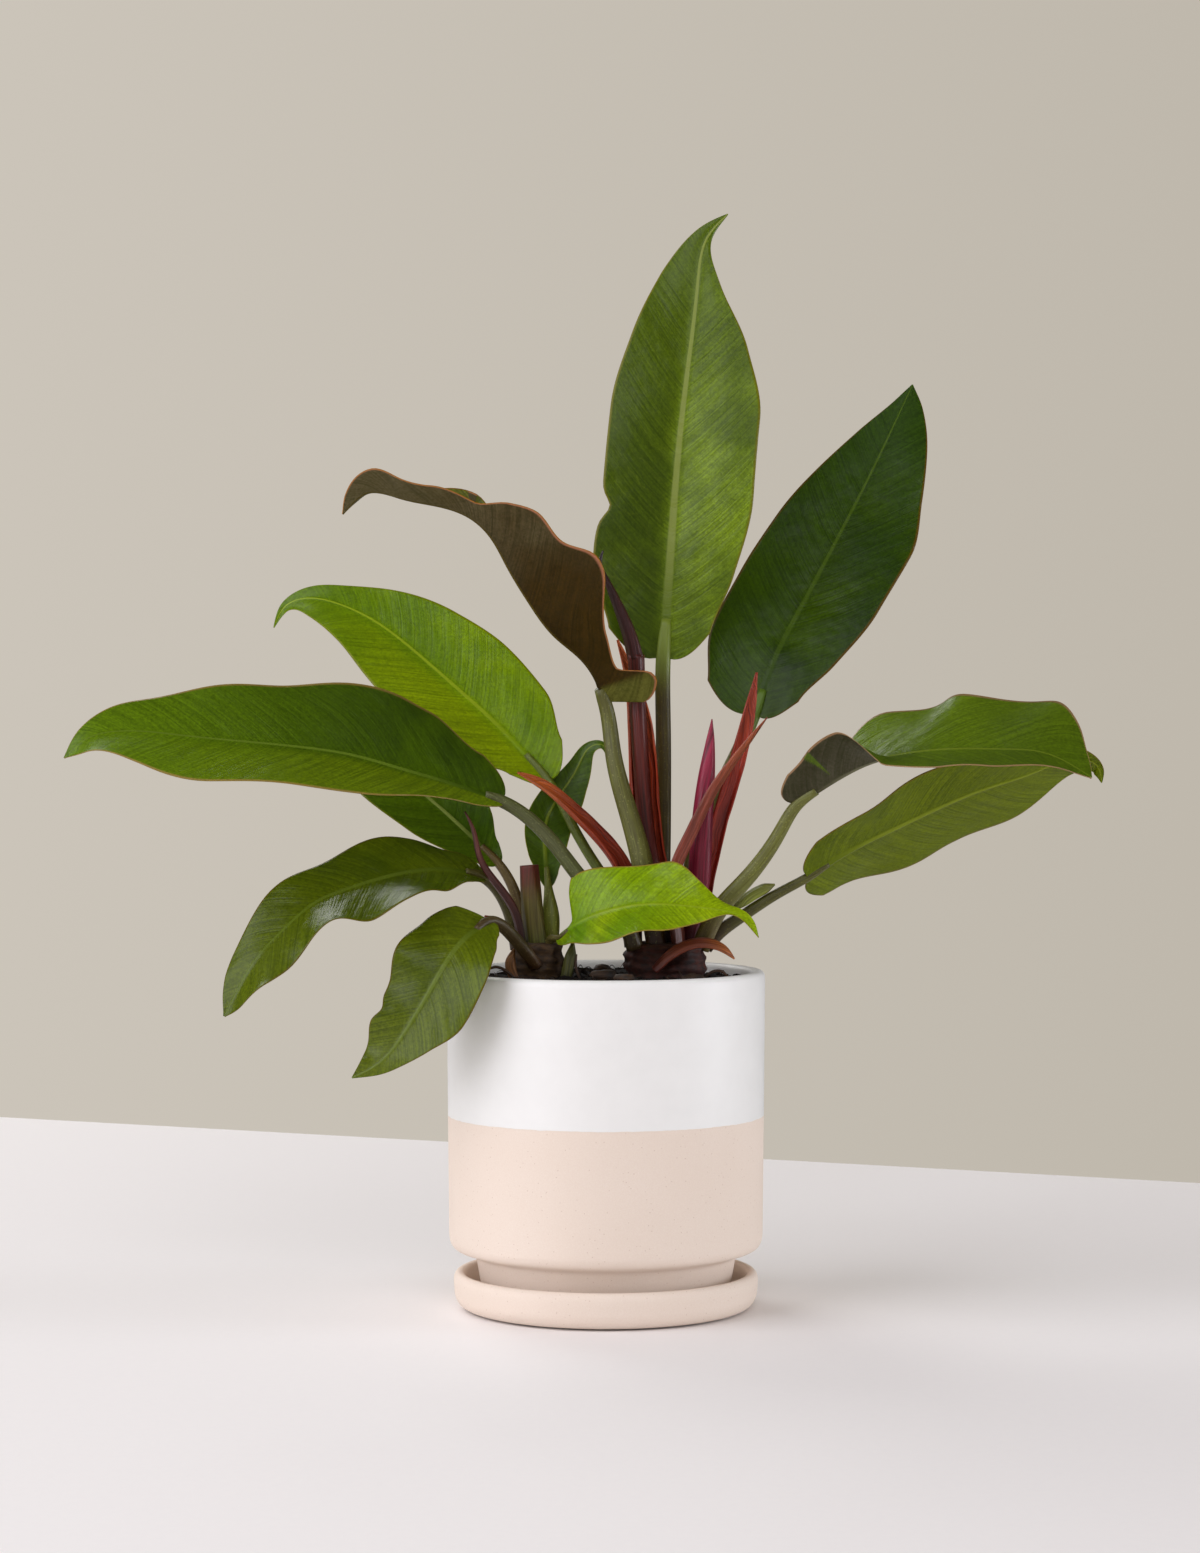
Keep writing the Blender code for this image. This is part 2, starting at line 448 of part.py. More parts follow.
# ================================================================ leaves
def build_blade(name, leaf, colour):
    """A closed thin solid: rows across the midrib, thicker along it, with folded and curled halves."""
    amounts = np.linspace(0, 1, BLADE_ROWS)
    midrib = follow(leaf["midrib"], name)
    middle = spline(midrib, amounts)
    ahead = unit(spline(midrib, amounts + 0.002) - spline(midrib, amounts - 0.002))
    looks = np.asarray(leaf["face"], float)
    where = np.linspace(0, 1, len(looks))
    up = np.stack([np.interp(amounts, where, looks[:, i]) for i in range(3)], -1)
    up = unit(up - ahead * np.sum(up * ahead, axis=1, keepdims=True))
    right = np.cross(ahead, up)
    lean = np.interp(amounts, (0, 1), leaf["lean"])
    upper, lower = [], []
    for row, amount in enumerate(amounts):
        top_line, under_line = [], []
        for across in BLADE_COLUMNS:
            side = "right" if across > 0 else "left"
            widths = (0.35 * leaf[side][0], *leaf[side], TIP_HALF_WIDTH)
            reach = abs(across) * eased(STATIONS, widths, np.array([amount]))[0]
            fold = math.radians(np.interp(amount, (0, 0.5, 1), leaf["fold_" + side]))
            out = math.copysign(math.cos(fold), across) * right[row] if across else 0 * right[row]
            point = middle[row] + reach * (out + math.sin(fold) * up[row] + lean[row] * ahead[row])
            rib = max(0.0, 1 - abs(across) / 0.2) * RIB_DEPTH * (1 - 0.85 * amount)
            top_line.append(point + up[row] * BLADE_THICKNESS / 2)
            under_line.append(point - up[row] * (BLADE_THICKNESS / 2 + rib))
        upper.append(top_line)
        lower.append(under_line)
    rings = [top_line + under_line[::-1] for top_line, under_line in zip(upper, lower)]
    loft("leaf_" + name, rings, finish("leaf_" + name + "_green", colour, 0.4))


def build_petiole(name, leaf, colour):
    rings = swept_rings(follow(leaf["petiole"], name), leaf["radius"], PETIOLE_SIDES, 2 * len(leaf["petiole"]), PETIOLE_STOP)
    loft("petiole_" + name, rings, finish("petiole_" + name + "_skin", colour, 0.45))


def build_spear(name, spear, colour):
    thin = max(spear["radius"]) < 1
    stop = GAP if name.startswith("petiole") else 0.0
    rings = swept_rings(follow(spear["route"], name), spear["radius"], 5 if thin else 7, 5 if thin else 9, stop)
    loft(name, rings, finish(name + "_skin", colour, 0.45))


def build_sheath(name, sheath, colour):
    """A half tube: an outer arc and an inner arc square to the route, opening the way the groove looks."""
    rows = 10
    amounts = np.linspace(0, 1, rows)
    route = follow(sheath["route"], name)
    middle = spline(route, amounts)
    ahead = unit(spline(route, amounts + 0.002) - spline(route, amounts - 0.002))
    size = eased(knots_of(route), sheath["radius"], amounts)
    rings = []
    for centre, along, radius in zip(middle, ahead, size):
        opening = np.asarray(sheath["groove"], float)
        opening = unit(opening - along * np.dot(opening, along))
        side = np.cross(along, opening)
        spread = math.radians(SHEATH_HALF_ANGLE)
        wall = min(SHEATH_WALL, 0.45 * radius)
        outer = [centre + radius * (math.sin(a) * side - 0.55 * math.cos(a) * opening)
                 for a in np.linspace(-spread, spread, 7)]
        inner = [centre + (radius - wall) * (math.sin(a) * side - 0.42 * math.cos(a) * opening)
                 for a in np.linspace(spread, -spread, 7)]
        rings.append(outer + inner)
    rings[0] = level_ring(rings[0], route[0][2])
    loft(name, rings, finish(name + "_skin", colour, 0.5))


def build_bark(name, chip, turn_seed):
    """A rough chip: a box with its corners pushed about, lying on the soil."""
    place, length, width, height, turn = chip
    random = np.random.default_rng(turn_seed)
    bm = bmesh.new()
    bmesh.ops.create_cube(bm, size=1)
    bmesh.ops.scale(bm, vec=(length * MM, width * MM, height * MM), verts=bm.verts)
    bmesh.ops.subdivide_edges(bm, edges=bm.edges[:], cuts=1, use_grid_fill=True)
    for vert in bm.verts:
        vert.co.x *= 1 - 0.35 * random.random() * abs(vert.co.y) / (width * MM)
        vert.co.y *= 1 - 0.4 * random.random() * abs(vert.co.x) / (length * MM)
        if vert.co.z > 0:
            vert.co.z *= 0.6 + 0.4 * random.random()
    place = follow([(place[0], place[1], SET_OUT_SOIL)], name)[0]
    piece = add_object(name, bm, finish(name + "_wood", (0.055, 0.035, 0.018), 0.9),
                       (place[0], place[1], place[2] + GAP + height / 2))
    piece.rotation_euler.z = math.radians(turn)


# ================================================================ the whole plant
def main():
    clear_scene()
    build_saucer()
    build_pot()
    build_potting_mix()
    build_crown("stem_main", MAIN_CROWN, MAIN_CROWN_RADIUS, (0.06, 0.025, 0.02))
    build_crown("stem_side", SIDE_CROWN, SIDE_CROWN_RADIUS, (0.07, 0.05, 0.02))
    greens = {"top": (0.10, 0.16, 0.03), "upper_right": (0.045, 0.10, 0.012), "right": (0.08, 0.14, 0.02),
              "right_low": (0.09, 0.12, 0.03), "arching_left": (0.06, 0.045, 0.015),
              "bright_left": (0.20, 0.30, 0.01), "long_left": (0.05, 0.12, 0.008),
              "back_left": (0.10, 0.17, 0.04), "drooping_left": (0.06, 0.11, 0.02),
              "hanging_front": (0.07, 0.12, 0.02), "small_back": (0.07, 0.13, 0.02),
              "small_front": (0.17, 0.28, 0.02)}
    stalks = {"top": (0.05, 0.035, 0.012), "upper_right": (0.10, 0.10, 0.04), "right": (0.12, 0.12, 0.06),
              "right_low": (0.08, 0.07, 0.03), "arching_left": (0.11, 0.10, 0.04),
              "bright_left": (0.12, 0.14, 0.03), "long_left": (0.09, 0.09, 0.05),
              "back_left": (0.16, 0.10, 0.03), "drooping_left": (0.08, 0.06, 0.02),
              "hanging_front": (0.09, 0.07, 0.03), "small_back": (0.14, 0.14, 0.05),
              "small_front": (0.09, 0.07, 0.02)}
    for name, leaf in LEAVES.items():
        build_blade(name, leaf, greens[name])
        build_petiole(name, leaf, stalks[name])
    skins = {"leaf_furled": (0.06, 0.012, 0.01), "petiole_furled": (0.16, 0.02, 0.012),
             "spear_crimson": (0.35, 0.01, 0.04), "sheath_axil_right": (0.12, 0.13, 0.02),
             "sheath_dried": (0.06, 0.015, 0.012), "stub_side": (0.10, 0.06, 0.02),
             "scale_red": (0.30, 0.04, 0.03), "scale_left": (0.14, 0.10, 0.03), "scale_right": (0.07, 0.07, 0.02)}
    for name, spear in SPEARS.items():
        build_spear(name, spear, skins.get(name, (0.02, 0.012, 0.006)))
    reds = {"sheath_left": (0.24, 0.04, 0.02), "sheath_centre": (0.18, 0.03, 0.015),
            "sheath_right_tall": (0.30, 0.04, 0.02), "sheath_crossing": (0.22, 0.04, 0.02),
            "sheath_low_front": (0.22, 0.09, 0.03)}
    for name, sheath in SHEATHS.items():
        build_sheath(name, sheath, reds[name])
    for number, (name, chip) in enumerate(BARK.items()):
        build_bark(name, chip, 11 + number)


main()
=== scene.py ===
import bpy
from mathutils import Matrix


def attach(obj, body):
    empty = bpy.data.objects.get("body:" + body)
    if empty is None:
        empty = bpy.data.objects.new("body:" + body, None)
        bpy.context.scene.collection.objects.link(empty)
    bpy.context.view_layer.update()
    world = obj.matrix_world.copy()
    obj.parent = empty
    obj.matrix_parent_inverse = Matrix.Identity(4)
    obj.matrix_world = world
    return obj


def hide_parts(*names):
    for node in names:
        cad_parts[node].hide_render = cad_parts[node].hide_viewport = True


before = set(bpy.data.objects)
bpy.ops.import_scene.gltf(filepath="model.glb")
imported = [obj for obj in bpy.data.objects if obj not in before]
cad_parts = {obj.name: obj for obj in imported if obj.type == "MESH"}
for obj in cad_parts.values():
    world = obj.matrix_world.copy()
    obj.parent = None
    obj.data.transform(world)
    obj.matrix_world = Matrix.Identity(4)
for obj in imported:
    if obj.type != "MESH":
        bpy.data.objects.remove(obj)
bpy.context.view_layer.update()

import math

import bmesh
import bpy
import numpy as np
from mathutils import Vector, noise

MM = 0.001

# ---------------------------------------------------------------- camera
# The view from just above the rim of the pot, nearly two metres in front, through a long portrait lens.
# Only the view is set here; the room and the lamps follow.
EYE = (-0.0031, -1.75, 0.2956)   # metres
TILT_DOWN = 0.68                 # degrees below level

camera_data = bpy.data.cameras.new("portrait_camera")
camera_data.lens = 78.24
camera_data.sensor_width = 36.0
camera = bpy.data.objects.new("portrait_camera", camera_data)
camera.location = EYE
camera.rotation_euler = (math.radians(90 - TILT_DOWN), 0, 0)
bpy.context.collection.objects.link(camera)
bpy.context.scene.camera = camera
bpy.context.scene.view_settings.view_transform = "Standard"


# ---------------------------------------------------------------- table, room and lamps
# A pale painted table whose far edge runs at a slant, with a warm grey room behind it.
# One large soft lamp stands at the left front; four weaker ones fill from low left, the front, the right
# and behind.
def paint(hex_colour):
    """An sRGB hex colour as linear RGBA."""
    parts = [int(hex_colour[i:i + 2], 16) / 255 for i in (0, 2, 4)]
    return (*[p / 12.92 if p <= 0.04045 else ((p + 0.055) / 1.055) ** 2.4 for p in parts], 1.0)


def node(tree, kind, settings=None, inputs=None):
    """Add one node with its settings, and link or set its inputs by name or number."""
    made = tree.nodes.new(kind)
    for key, value in (settings or {}).items():
        setattr(made, key, value)
    for key, value in (inputs or {}).items():
        if isinstance(value, bpy.types.NodeSocket):
            tree.links.new(value, made.inputs[key])
        else:
            made.inputs[key].default_value = value
    return made


def join(tree, shader, sockets):
    """Link finished patterns into a shader's inputs by name."""
    for name, socket in sockets.items():
        tree.links.new(socket, shader.inputs[name])


def new_finish(name):
    """An empty node material with its shader already joined to the output."""
    finish = bpy.data.materials.new(name)
    finish.use_nodes = True
    return finish, finish.node_tree, finish.node_tree.nodes["Principled BSDF"]


def add_mesh(name, points, faces, finishes, smooth=True):
    """A mesh object in the scene, from points in millimetres."""
    mesh = bpy.data.meshes.new(name)
    mesh.from_pydata([tuple(float(v) * MM for v in p) for p in points], [], faces)
    for finish in finishes:
        mesh.materials.append(finish)
    if smooth:
        mesh.shade_smooth()
    piece = bpy.data.objects.new(name, mesh)
    bpy.context.collection.objects.link(piece)
    return piece


COLOUR_MIX = {"data_type": "RGBA"}
MULTIPLY_ADD = {"operation": "MULTIPLY_ADD"}

# Eggshell paint: pale, faintly warm, with a roller's stipple of 4 mm that only just shows in its colour.
eggshell_paint, tree, shader = new_finish("table_eggshell_paint")
where = node(tree, "ShaderNodeTexCoord").outputs["Object"]
stipple = node(tree, "ShaderNodeTexNoise", None, {"Vector": where, "Scale": 240.0, "Detail": 3.0}).outputs[0]
tone = node(tree, "ShaderNodeMapRange", None, {"Value": stipple, "To Min": 0.0, "To Max": 1.0}).outputs[0]
colour = node(tree, "ShaderNodeMix", COLOUR_MIX, {0: tone, 6: paint("f6f2f1"), 7: paint("f3efef")}).outputs[2]
join(tree, shader, {"Base Color": colour})
shader.inputs["Roughness"].default_value = 0.7
shader.inputs["Specular IOR Level"].default_value = 0.2

# In millimetres: how far the table reaches, its top just under the saucer, and where its far edge runs.
TABLE_REACH, TABLE_LEVEL = 2500, -0.6
FAR_LEFT, FAR_RIGHT = (-TABLE_REACH, 1785), (TABLE_REACH, -460)
table_corners = [(*place, TABLE_LEVEL) for place in
                 ((-TABLE_REACH, -TABLE_REACH), (TABLE_REACH, -TABLE_REACH), FAR_RIGHT, FAR_LEFT)]
table = add_mesh("table_top", table_corners, [(0, 1, 2, 3)], [eggshell_paint], smooth=False)

# The room's own light is soft, and weaker still in anything glossy, so that leaves keep their colour.
ROOM_LIGHT, GLOSS_DIMMING = 0.54, 0.48
room = bpy.data.worlds.new("warm_grey_room")
room.use_nodes = True
bpy.context.scene.world = room
tree = room.node_tree
way = node(tree, "ShaderNodeTexCoord").outputs["Generated"]
across = node(tree, "ShaderNodeSeparateXYZ", None, {0: way}).outputs[0]
turn = node(tree, "ShaderNodeMapRange", None, {"Value": across, "From Min": -0.2, "From Max": 0.2}).outputs[0]
wall = node(tree, "ShaderNodeMix", COLOUR_MIX, {0: turn, 6: paint("ccc5ba"), 7: paint("beb7ab")}).outputs[2]
ray = node(tree, "ShaderNodeLightPath")
dimmed = node(tree, "ShaderNodeMath", MULTIPLY_ADD,
              {0: ray.outputs["Is Glossy Ray"], 1: -GLOSS_DIMMING, 2: ROOM_LIGHT}).outputs[0]
strength = node(tree, "ShaderNodeMath", {"operation": "MAXIMUM"},
                {0: dimmed, 1: ray.outputs["Is Camera Ray"]}).outputs[0]
join(tree, tree.nodes["Background"], {"Color": wall, "Strength": strength})


def softbox(name, place, aim, size, watts, colour):
    """A round area lamp at a place in metres, turned to a point it lights."""
    lamp = bpy.data.lights.new(name, "AREA")
    lamp.shape = "DISK"
    lamp.size = size
    lamp.energy = watts
    lamp.color = paint(colour)[:3]
    lamp_object = bpy.data.objects.new(name, lamp)
    lamp_object.location = place
    lamp_object.rotation_euler = (Vector(aim) - Vector(place)).to_track_quat("-Z", "Y").to_euler()
    bpy.context.collection.objects.link(lamp_object)


softbox("left_softbox", (-2.9, -1.6, 2.2), (0, 0, 0.2), 4.2, 114, "f6f7ff")
softbox("low_fill", (-1.9, -2.1, 0.5), (0, 0, 0.12), 1.4, 9, "f6f7ff")
softbox("front_softbox", (0.3, -2.6, 2.0), (0, 0, 0.2), 1.6, 18, "f6f6ff")
softbox("right_fill", (2.4, -0.3, 0.4), (0, 0, 0.15), 1.2, 28, "f2f6ff")
softbox("back_window", (-0.9, 1.6, 1.5), (0, 0, 0.3), 1.2, 14, "ffffff")


# ---------------------------------------------------------------- saucer
# A thrown stoneware dish left bare: once-fired clay, blush pink, sponged smooth, with fine iron specks.
# The pot's foot stands inside it. It was turned on a wheel, so every edge is softly rounded.
SAUCER_RADIUS, SAUCER_HEIGHT, SAUCER_WALL, SAUCER_FLOOR, SAUCER_HEEL = 79.0, 19.0, 6.4, 6.0, 8.0
EVEN_MIDDLE = 12       # inside this radius a turned piece is perfectly round, so that its axis closes

NUMBER_MIX = {"data_type": "FLOAT"}
MULTIPLY = {"operation": "MULTIPLY"}
SMOOTH = {"interpolation_type": "SMOOTHSTEP"}


def softened(profile, cuts=(1.0, 0.4)):
    """Round a profile's corners: each is cut back twice, by no more than the given millimetres."""
    line = [np.array(point, float) for point in profile]
    for cut in cuts:
        eased_line = [line[0]]
        for before, corner, after in zip(line, line[1:], line[2:]):
            for end in (before, after):
                way = end - corner
                length = np.linalg.norm(way)
                eased_line.append(corner + way / length * min(cut, length * 0.3))
        line = eased_line + [line[-1]]
    return line


def face_outward(piece, weld=None):
    """Turn every face outward, first welding points that lie within a distance in metres if one is given."""
    shell = bmesh.new()
    shell.from_mesh(piece.data)
    if weld:
        bmesh.ops.remove_doubles(shell, verts=shell.verts, dist=weld)
        bmesh.ops.dissolve_degenerate(shell, edges=shell.edges, dist=weld)
    bmesh.ops.recalc_face_normals(shell, faces=shell.faces)
    shell.to_mesh(piece.data)
    shell.free()


def turned(name, profile, finish, steps=160, wobble=0.12):
    """Spin a profile of (radius, height) into a closed piece, very slightly uneven as hand-thrown work is."""
    points, faces = [], []
    rows = len(profile)
    for i in range(steps):
        angle = 2 * math.pi * i / steps
        for radius, height in profile:
            way = Vector((math.cos(angle) * 1.3, math.sin(angle) * 1.3, height * 0.02))
            reach = radius + (wobble * noise.noise(way) if radius > EVEN_MIDDLE else 0)
            points.append((reach * math.cos(angle), reach * math.sin(angle), height))
    for i in range(steps):
        j = (i + 1) % steps
        for k in range(rows - 1):
            faces.append((i * rows + k, j * rows + k, j * rows + k + 1, i * rows + k + 1))
    piece = add_mesh(name, points, faces, [finish])
    face_outward(piece, weld=0.00001)
    return piece


def stoneware(name, glaze_line=None):
    """Bare blush stoneware, with a white matt glaze above a height in millimetres if one is given.

    Clay shows a fine grain of 0.7 mm and iron specks of about 0.5 mm; the glaze is smoother and paler,
    and stops in a crisp line that wanders by a third of a millimetre.
    """
    finish, tree, shader = new_finish(name)
    where = node(tree, "ShaderNodeTexCoord").outputs["Object"]
    grain = node(tree, "ShaderNodeTexNoise", None,
                 {"Vector": where, "Scale": 1400.0, "Detail": 4.0, "Roughness": 0.6}).outputs[0]
    cloud = node(tree, "ShaderNodeTexNoise", None, {"Vector": where, "Scale": 22.0, "Detail": 3.0}).outputs[0]
    specks = node(tree, "ShaderNodeTexVoronoi", {"feature": "F1"}, {"Vector": where, "Scale": 330.0}).outputs[0]
    speck_mask = node(tree, "ShaderNodeMapRange", None,
                      {"Value": specks, "From Min": 0.07, "From Max": 0.12, "To Min": 0.4, "To Max": 0.0}).outputs[0]
    clay = node(tree, "ShaderNodeMix", COLOUR_MIX, {0: cloud, 6: paint("eadbcd"), 7: paint("f0e4d9")}).outputs[2]
    clay = node(tree, "ShaderNodeMix", COLOUR_MIX, {0: grain, 6: paint("e2cfc0"), 7: clay}).outputs[2]
    clay = node(tree, "ShaderNodeMix", COLOUR_MIX, {0: speck_mask, 6: clay, 7: paint("b08e78")}).outputs[2]
    height = grain
    roughness = node(tree, "ShaderNodeMapRange", None, {"Value": grain, "To Min": 0.66, "To Max": 0.86}).outputs[0]
    depth = 0.00006
    if glaze_line is not None:
        level = node(tree, "ShaderNodeSeparateXYZ", None, {0: where}).outputs[2]
        wander = node(tree, "ShaderNodeTexNoise", None, {"Vector": where, "Scale": 160.0, "Detail": 3.0}).outputs[0]
        shift = node(tree, "ShaderNodeMath", MULTIPLY_ADD, {0: wander, 1: 0.0009, 2: level}).outputs[0]
        low = glaze_line * MM + 0.00045
        mask = node(tree, "ShaderNodeMapRange", SMOOTH,
                    {"Value": shift, "From Min": low - 0.0002, "From Max": low + 0.0002}).outputs[0]
        fine = node(tree, "ShaderNodeTexNoise", None, {"Vector": where, "Scale": 90.0, "Detail": 2.0}).outputs[0]
        glaze = node(tree, "ShaderNodeMix", COLOUR_MIX,
                     {0: fine, 6: paint("e9e8e6"), 7: paint("efeeec")}).outputs[2]
        clay = node(tree, "ShaderNodeMix", COLOUR_MIX, {0: mask, 6: clay, 7: glaze}).outputs[2]
        satin = node(tree, "ShaderNodeMapRange", None, {"Value": fine, "To Min": 0.36, "To Max": 0.46}).outputs[0]
        roughness = node(tree, "ShaderNodeMix", NUMBER_MIX, {0: mask, 2: roughness, 3: satin}).outputs[0]
        calm = node(tree, "ShaderNodeMath", MULTIPLY, {0: fine, 1: 0.3}).outputs[0]
        height = node(tree, "ShaderNodeMix", NUMBER_MIX, {0: mask, 2: grain, 3: calm}).outputs[0]
        height = node(tree, "ShaderNodeMath", MULTIPLY_ADD, {0: mask, 1: 2.2, 2: height}).outputs[0]
        depth = 0.0001
    bump = node(tree, "ShaderNodeBump", None, {"Strength": 0.6, "Distance": depth, "Height": height}).outputs[0]
    join(tree, shader, {"Base Color": clay, "Roughness": roughness, "Normal": bump})
    shader.inputs["IOR"].default_value = 1.5
    shader.inputs["Specular IOR Level"].default_value = 0.35
    return finish


inside = SAUCER_RADIUS - SAUCER_WALL
saucer_profile = [(0, 0), (SAUCER_RADIUS - SAUCER_HEEL, 0), (SAUCER_RADIUS - 4.6, 0.9), (SAUCER_RADIUS - 2.2, 3),
                  (SAUCER_RADIUS - 0.6, 6.5), (SAUCER_RADIUS, 14), (SAUCER_RADIUS - 0.3, SAUCER_HEIGHT - 2.4),
                  (SAUCER_RADIUS - 1.4, SAUCER_HEIGHT - 0.7), (SAUCER_RADIUS - 3.2, SAUCER_HEIGHT),
                  (inside + 1.1, SAUCER_HEIGHT - 0.7), (inside + 0.2, SAUCER_HEIGHT - 2.4),
                  (inside, SAUCER_FLOOR + 3.2), (inside - 0.9, SAUCER_FLOOR + 1), (inside - 3, SAUCER_FLOOR),
                  (0, SAUCER_FLOOR)]
saucer_dish = turned("saucer_dish", softened(saucer_profile), stoneware("bare_blush_stoneware"))
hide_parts("saucer")
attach(saucer_dish, "root")

# ---------------------------------------------------------------- pot
# A straight-sided thrown pot: the upper half dipped in white matt glaze, the lower half bare blush clay.
# Its wall steps in to a narrower foot that stands on the saucer's floor.
POT_TOP, POT_RADIUS, POT_TAPER, POT_WALL, RIM_ROUND = 174.6, 82.5, 1.2, 7.5, 2.6
WALL_CORNER, FOOT_TOP, FOOT_TOP_RADIUS, FOOT_RADIUS = 35.5, 28.0, 67.5, 64.0
HOLE_RADIUS, POT_FLOOR, GLAZE_LINE = 6.5, 9, 99.8
SEAT_GAP = 0.3         # the pot's foot clears the saucer's floor by this much
foot = SAUCER_FLOOR + SEAT_GAP
floor = foot + POT_FLOOR
low = POT_RADIUS - POT_TAPER
inner = POT_RADIUS - POT_WALL
low_inner = low - POT_WALL
pot_profile = [(HOLE_RADIUS, floor), (HOLE_RADIUS, foot), (FOOT_RADIUS - 1.5, foot), (FOOT_RADIUS, foot + 1.4),
               (FOOT_TOP_RADIUS, FOOT_TOP - 1.2), (FOOT_TOP_RADIUS + 2.4, FOOT_TOP + 0.4),
               (low - 2.6, WALL_CORNER - 4.4), (low - 0.5, WALL_CORNER - 1.4), (low, WALL_CORNER + 2),
               (POT_RADIUS - 0.5, 110), (POT_RADIUS, POT_TOP - RIM_ROUND - 0.4), (POT_RADIUS - 0.8, POT_TOP - 0.9),
               (POT_RADIUS - RIM_ROUND, POT_TOP), (inner + RIM_ROUND, POT_TOP), (inner + 0.8, POT_TOP - 0.9),
               (inner, POT_TOP - RIM_ROUND - 0.4), (low_inner, WALL_CORNER + 16), (low_inner - 2, WALL_CORNER + 10.5),
               (low_inner - 8, WALL_CORNER + 6), (60, WALL_CORNER + 3), (58, WALL_CORNER - 1.5), (56.5, foot + 12),
               (54, floor), (HOLE_RADIUS, floor)]
pot_body = turned("pot_body", softened(pot_profile), stoneware("dipped_stoneware", GLAZE_LINE), steps=192)
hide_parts("pot")
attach(pot_body, "root")

# ---------------------------------------------------------------- potting mix
# Peaty mix, almost black while damp, filled to just under the rim: a rough mounded top with loose crumbs
# of peat lying on it. Only its top shows, so the body below stays plain.
SOIL_TOP, SOIL_RADIUS = 170.7, 74.6
RINGS, SPOKES = 44, 150
CRUMBS, CRUMB_SPREAD = 620, 73.0


def damp_peat(name, dark, light):
    """Damp peat: nearly black and matt, crumbly at 2 mm and finer, with paler crumbs in patches."""
    finish, tree, shader = new_finish(name)
    where = node(tree, "ShaderNodeTexCoord").outputs["Object"]
    crumb = node(tree, "ShaderNodeTexNoise", None,
                 {"Vector": where, "Scale": 420.0, "Detail": 6.0, "Roughness": 0.7}).outputs[0]
    patch = node(tree, "ShaderNodeTexNoise", None, {"Vector": where, "Scale": 70.0, "Detail": 3.0}).outputs[0]
    tone = node(tree, "ShaderNodeMapRange", None, {"Value": crumb, "From Min": 0.35, "From Max": 0.75}).outputs[0]
    tone = node(tree, "ShaderNodeMath", MULTIPLY, {0: tone, 1: patch}).outputs[0]
    colour = node(tree, "ShaderNodeMix", COLOUR_MIX, {0: tone, 6: paint(dark), 7: paint(light)}).outputs[2]
    bump = node(tree, "ShaderNodeBump", None, {"Strength": 1.0, "Distance": 0.0012, "Height": crumb}).outputs[0]
    rough = node(tree, "ShaderNodeMapRange", None, {"Value": crumb, "To Min": 0.75, "To Max": 1.0}).outputs[0]
    join(tree, shader, {"Base Color": colour, "Roughness": rough, "Normal": bump})
    shader.inputs["Specular IOR Level"].default_value = 0.25
    return finish


def soil_height(x, y):
    """The mound's surface in millimetres: highest round the crowns, lower by the wall, lumpy all over."""
    reach = math.hypot(x, y)
    lumps = 1.3 * noise.fractal(Vector((x * 0.09, y * 0.09, 3.0)), 1.0, 2.0, 4)
    return SOIL_TOP + 0.6 - 2.6 * (reach / 75) ** 4 + lumps


peat = damp_peat("damp_peat", "100a07", "2a1e14")
points, faces = [(0.0, 0.0, soil_height(0, 0))], []
for i in range(1, RINGS + 1):
    for k in range(SPOKES):
        angle = 2 * math.pi * (k + 0.5 * (i % 2)) / SPOKES
        reach = SOIL_RADIUS * i / RINGS
        x, y = reach * math.cos(angle), reach * math.sin(angle)
        points.append((x, y, soil_height(x, y)))
# The hidden body below is three plain rings, each with a radius and a height.
for reach, height in ((74.4, 160.0), (73.6, 60.0), (55.0, 40.0)):
    for k in range(SPOKES):
        angle = 2 * math.pi * k / SPOKES
        points.append((reach * math.cos(angle), reach * math.sin(angle), height))
faces += [(0, 1 + k, 1 + (k + 1) % SPOKES) for k in range(SPOKES)]
for i in range(RINGS + 2):
    start = 1 + i * SPOKES
    for k in range(SPOKES):
        j = (k + 1) % SPOKES
        faces.append((start + k, start + SPOKES + k, start + SPOKES + j, start + j))
last = 1 + (RINGS + 2) * SPOKES
faces.append(tuple(range(last + SPOKES - 1, last - 1, -1)))
mix_mound = add_mesh("mix_mound", points, faces, [peat])
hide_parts("potting_mix")
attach(mix_mound, "root")


def lump(points, faces, centre, size, seed, sides=7, rows=4):
    """Add one irregular crumb to lists of points and faces: rings of a squashed ball, pushed about."""
    first = len(points)
    for row in range(rows + 1):
        lift = math.cos(math.pi * row / rows)
        ring = math.sin(math.pi * row / rows)
        for k in range(sides):
            angle = 2 * math.pi * k / sides
            way = Vector((ring * math.cos(angle), ring * math.sin(angle), lift))
            grow = 1 + 0.45 * noise.noise(way * 1.4 + Vector((seed * 7.3, seed * 1.7, 0)))
            points.append(tuple(centre[a] + size[a] * way[a] * grow for a in range(3)))
    for row in range(rows):
        for k in range(sides):
            a, b = first + row * sides + k, first + row * sides + (k + 1) % sides
            faces.append((a, a + sides, b + sides, b))


chance = np.random.default_rng(5)
points, faces = [], []
for n in range(CRUMBS):
    reach = CRUMB_SPREAD * math.sqrt(chance.random())
    angle = 2 * math.pi * chance.random()
    x, y = reach * math.cos(angle), reach * math.sin(angle)
    big = 0.5 + 1.5 * chance.random() ** 3
    size = (big * (0.7 + chance.random()), big * (0.7 + 0.5 * chance.random()), big * 0.7)
    lump(points, faces, (x, y, soil_height(x, y) + 0.2 * big), size, n)
mix_crumbs = add_mesh("mix_crumbs", points, faces, [damp_peat("peat_crumbs", "110b07", "33241a")])
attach(mix_crumbs, "root")

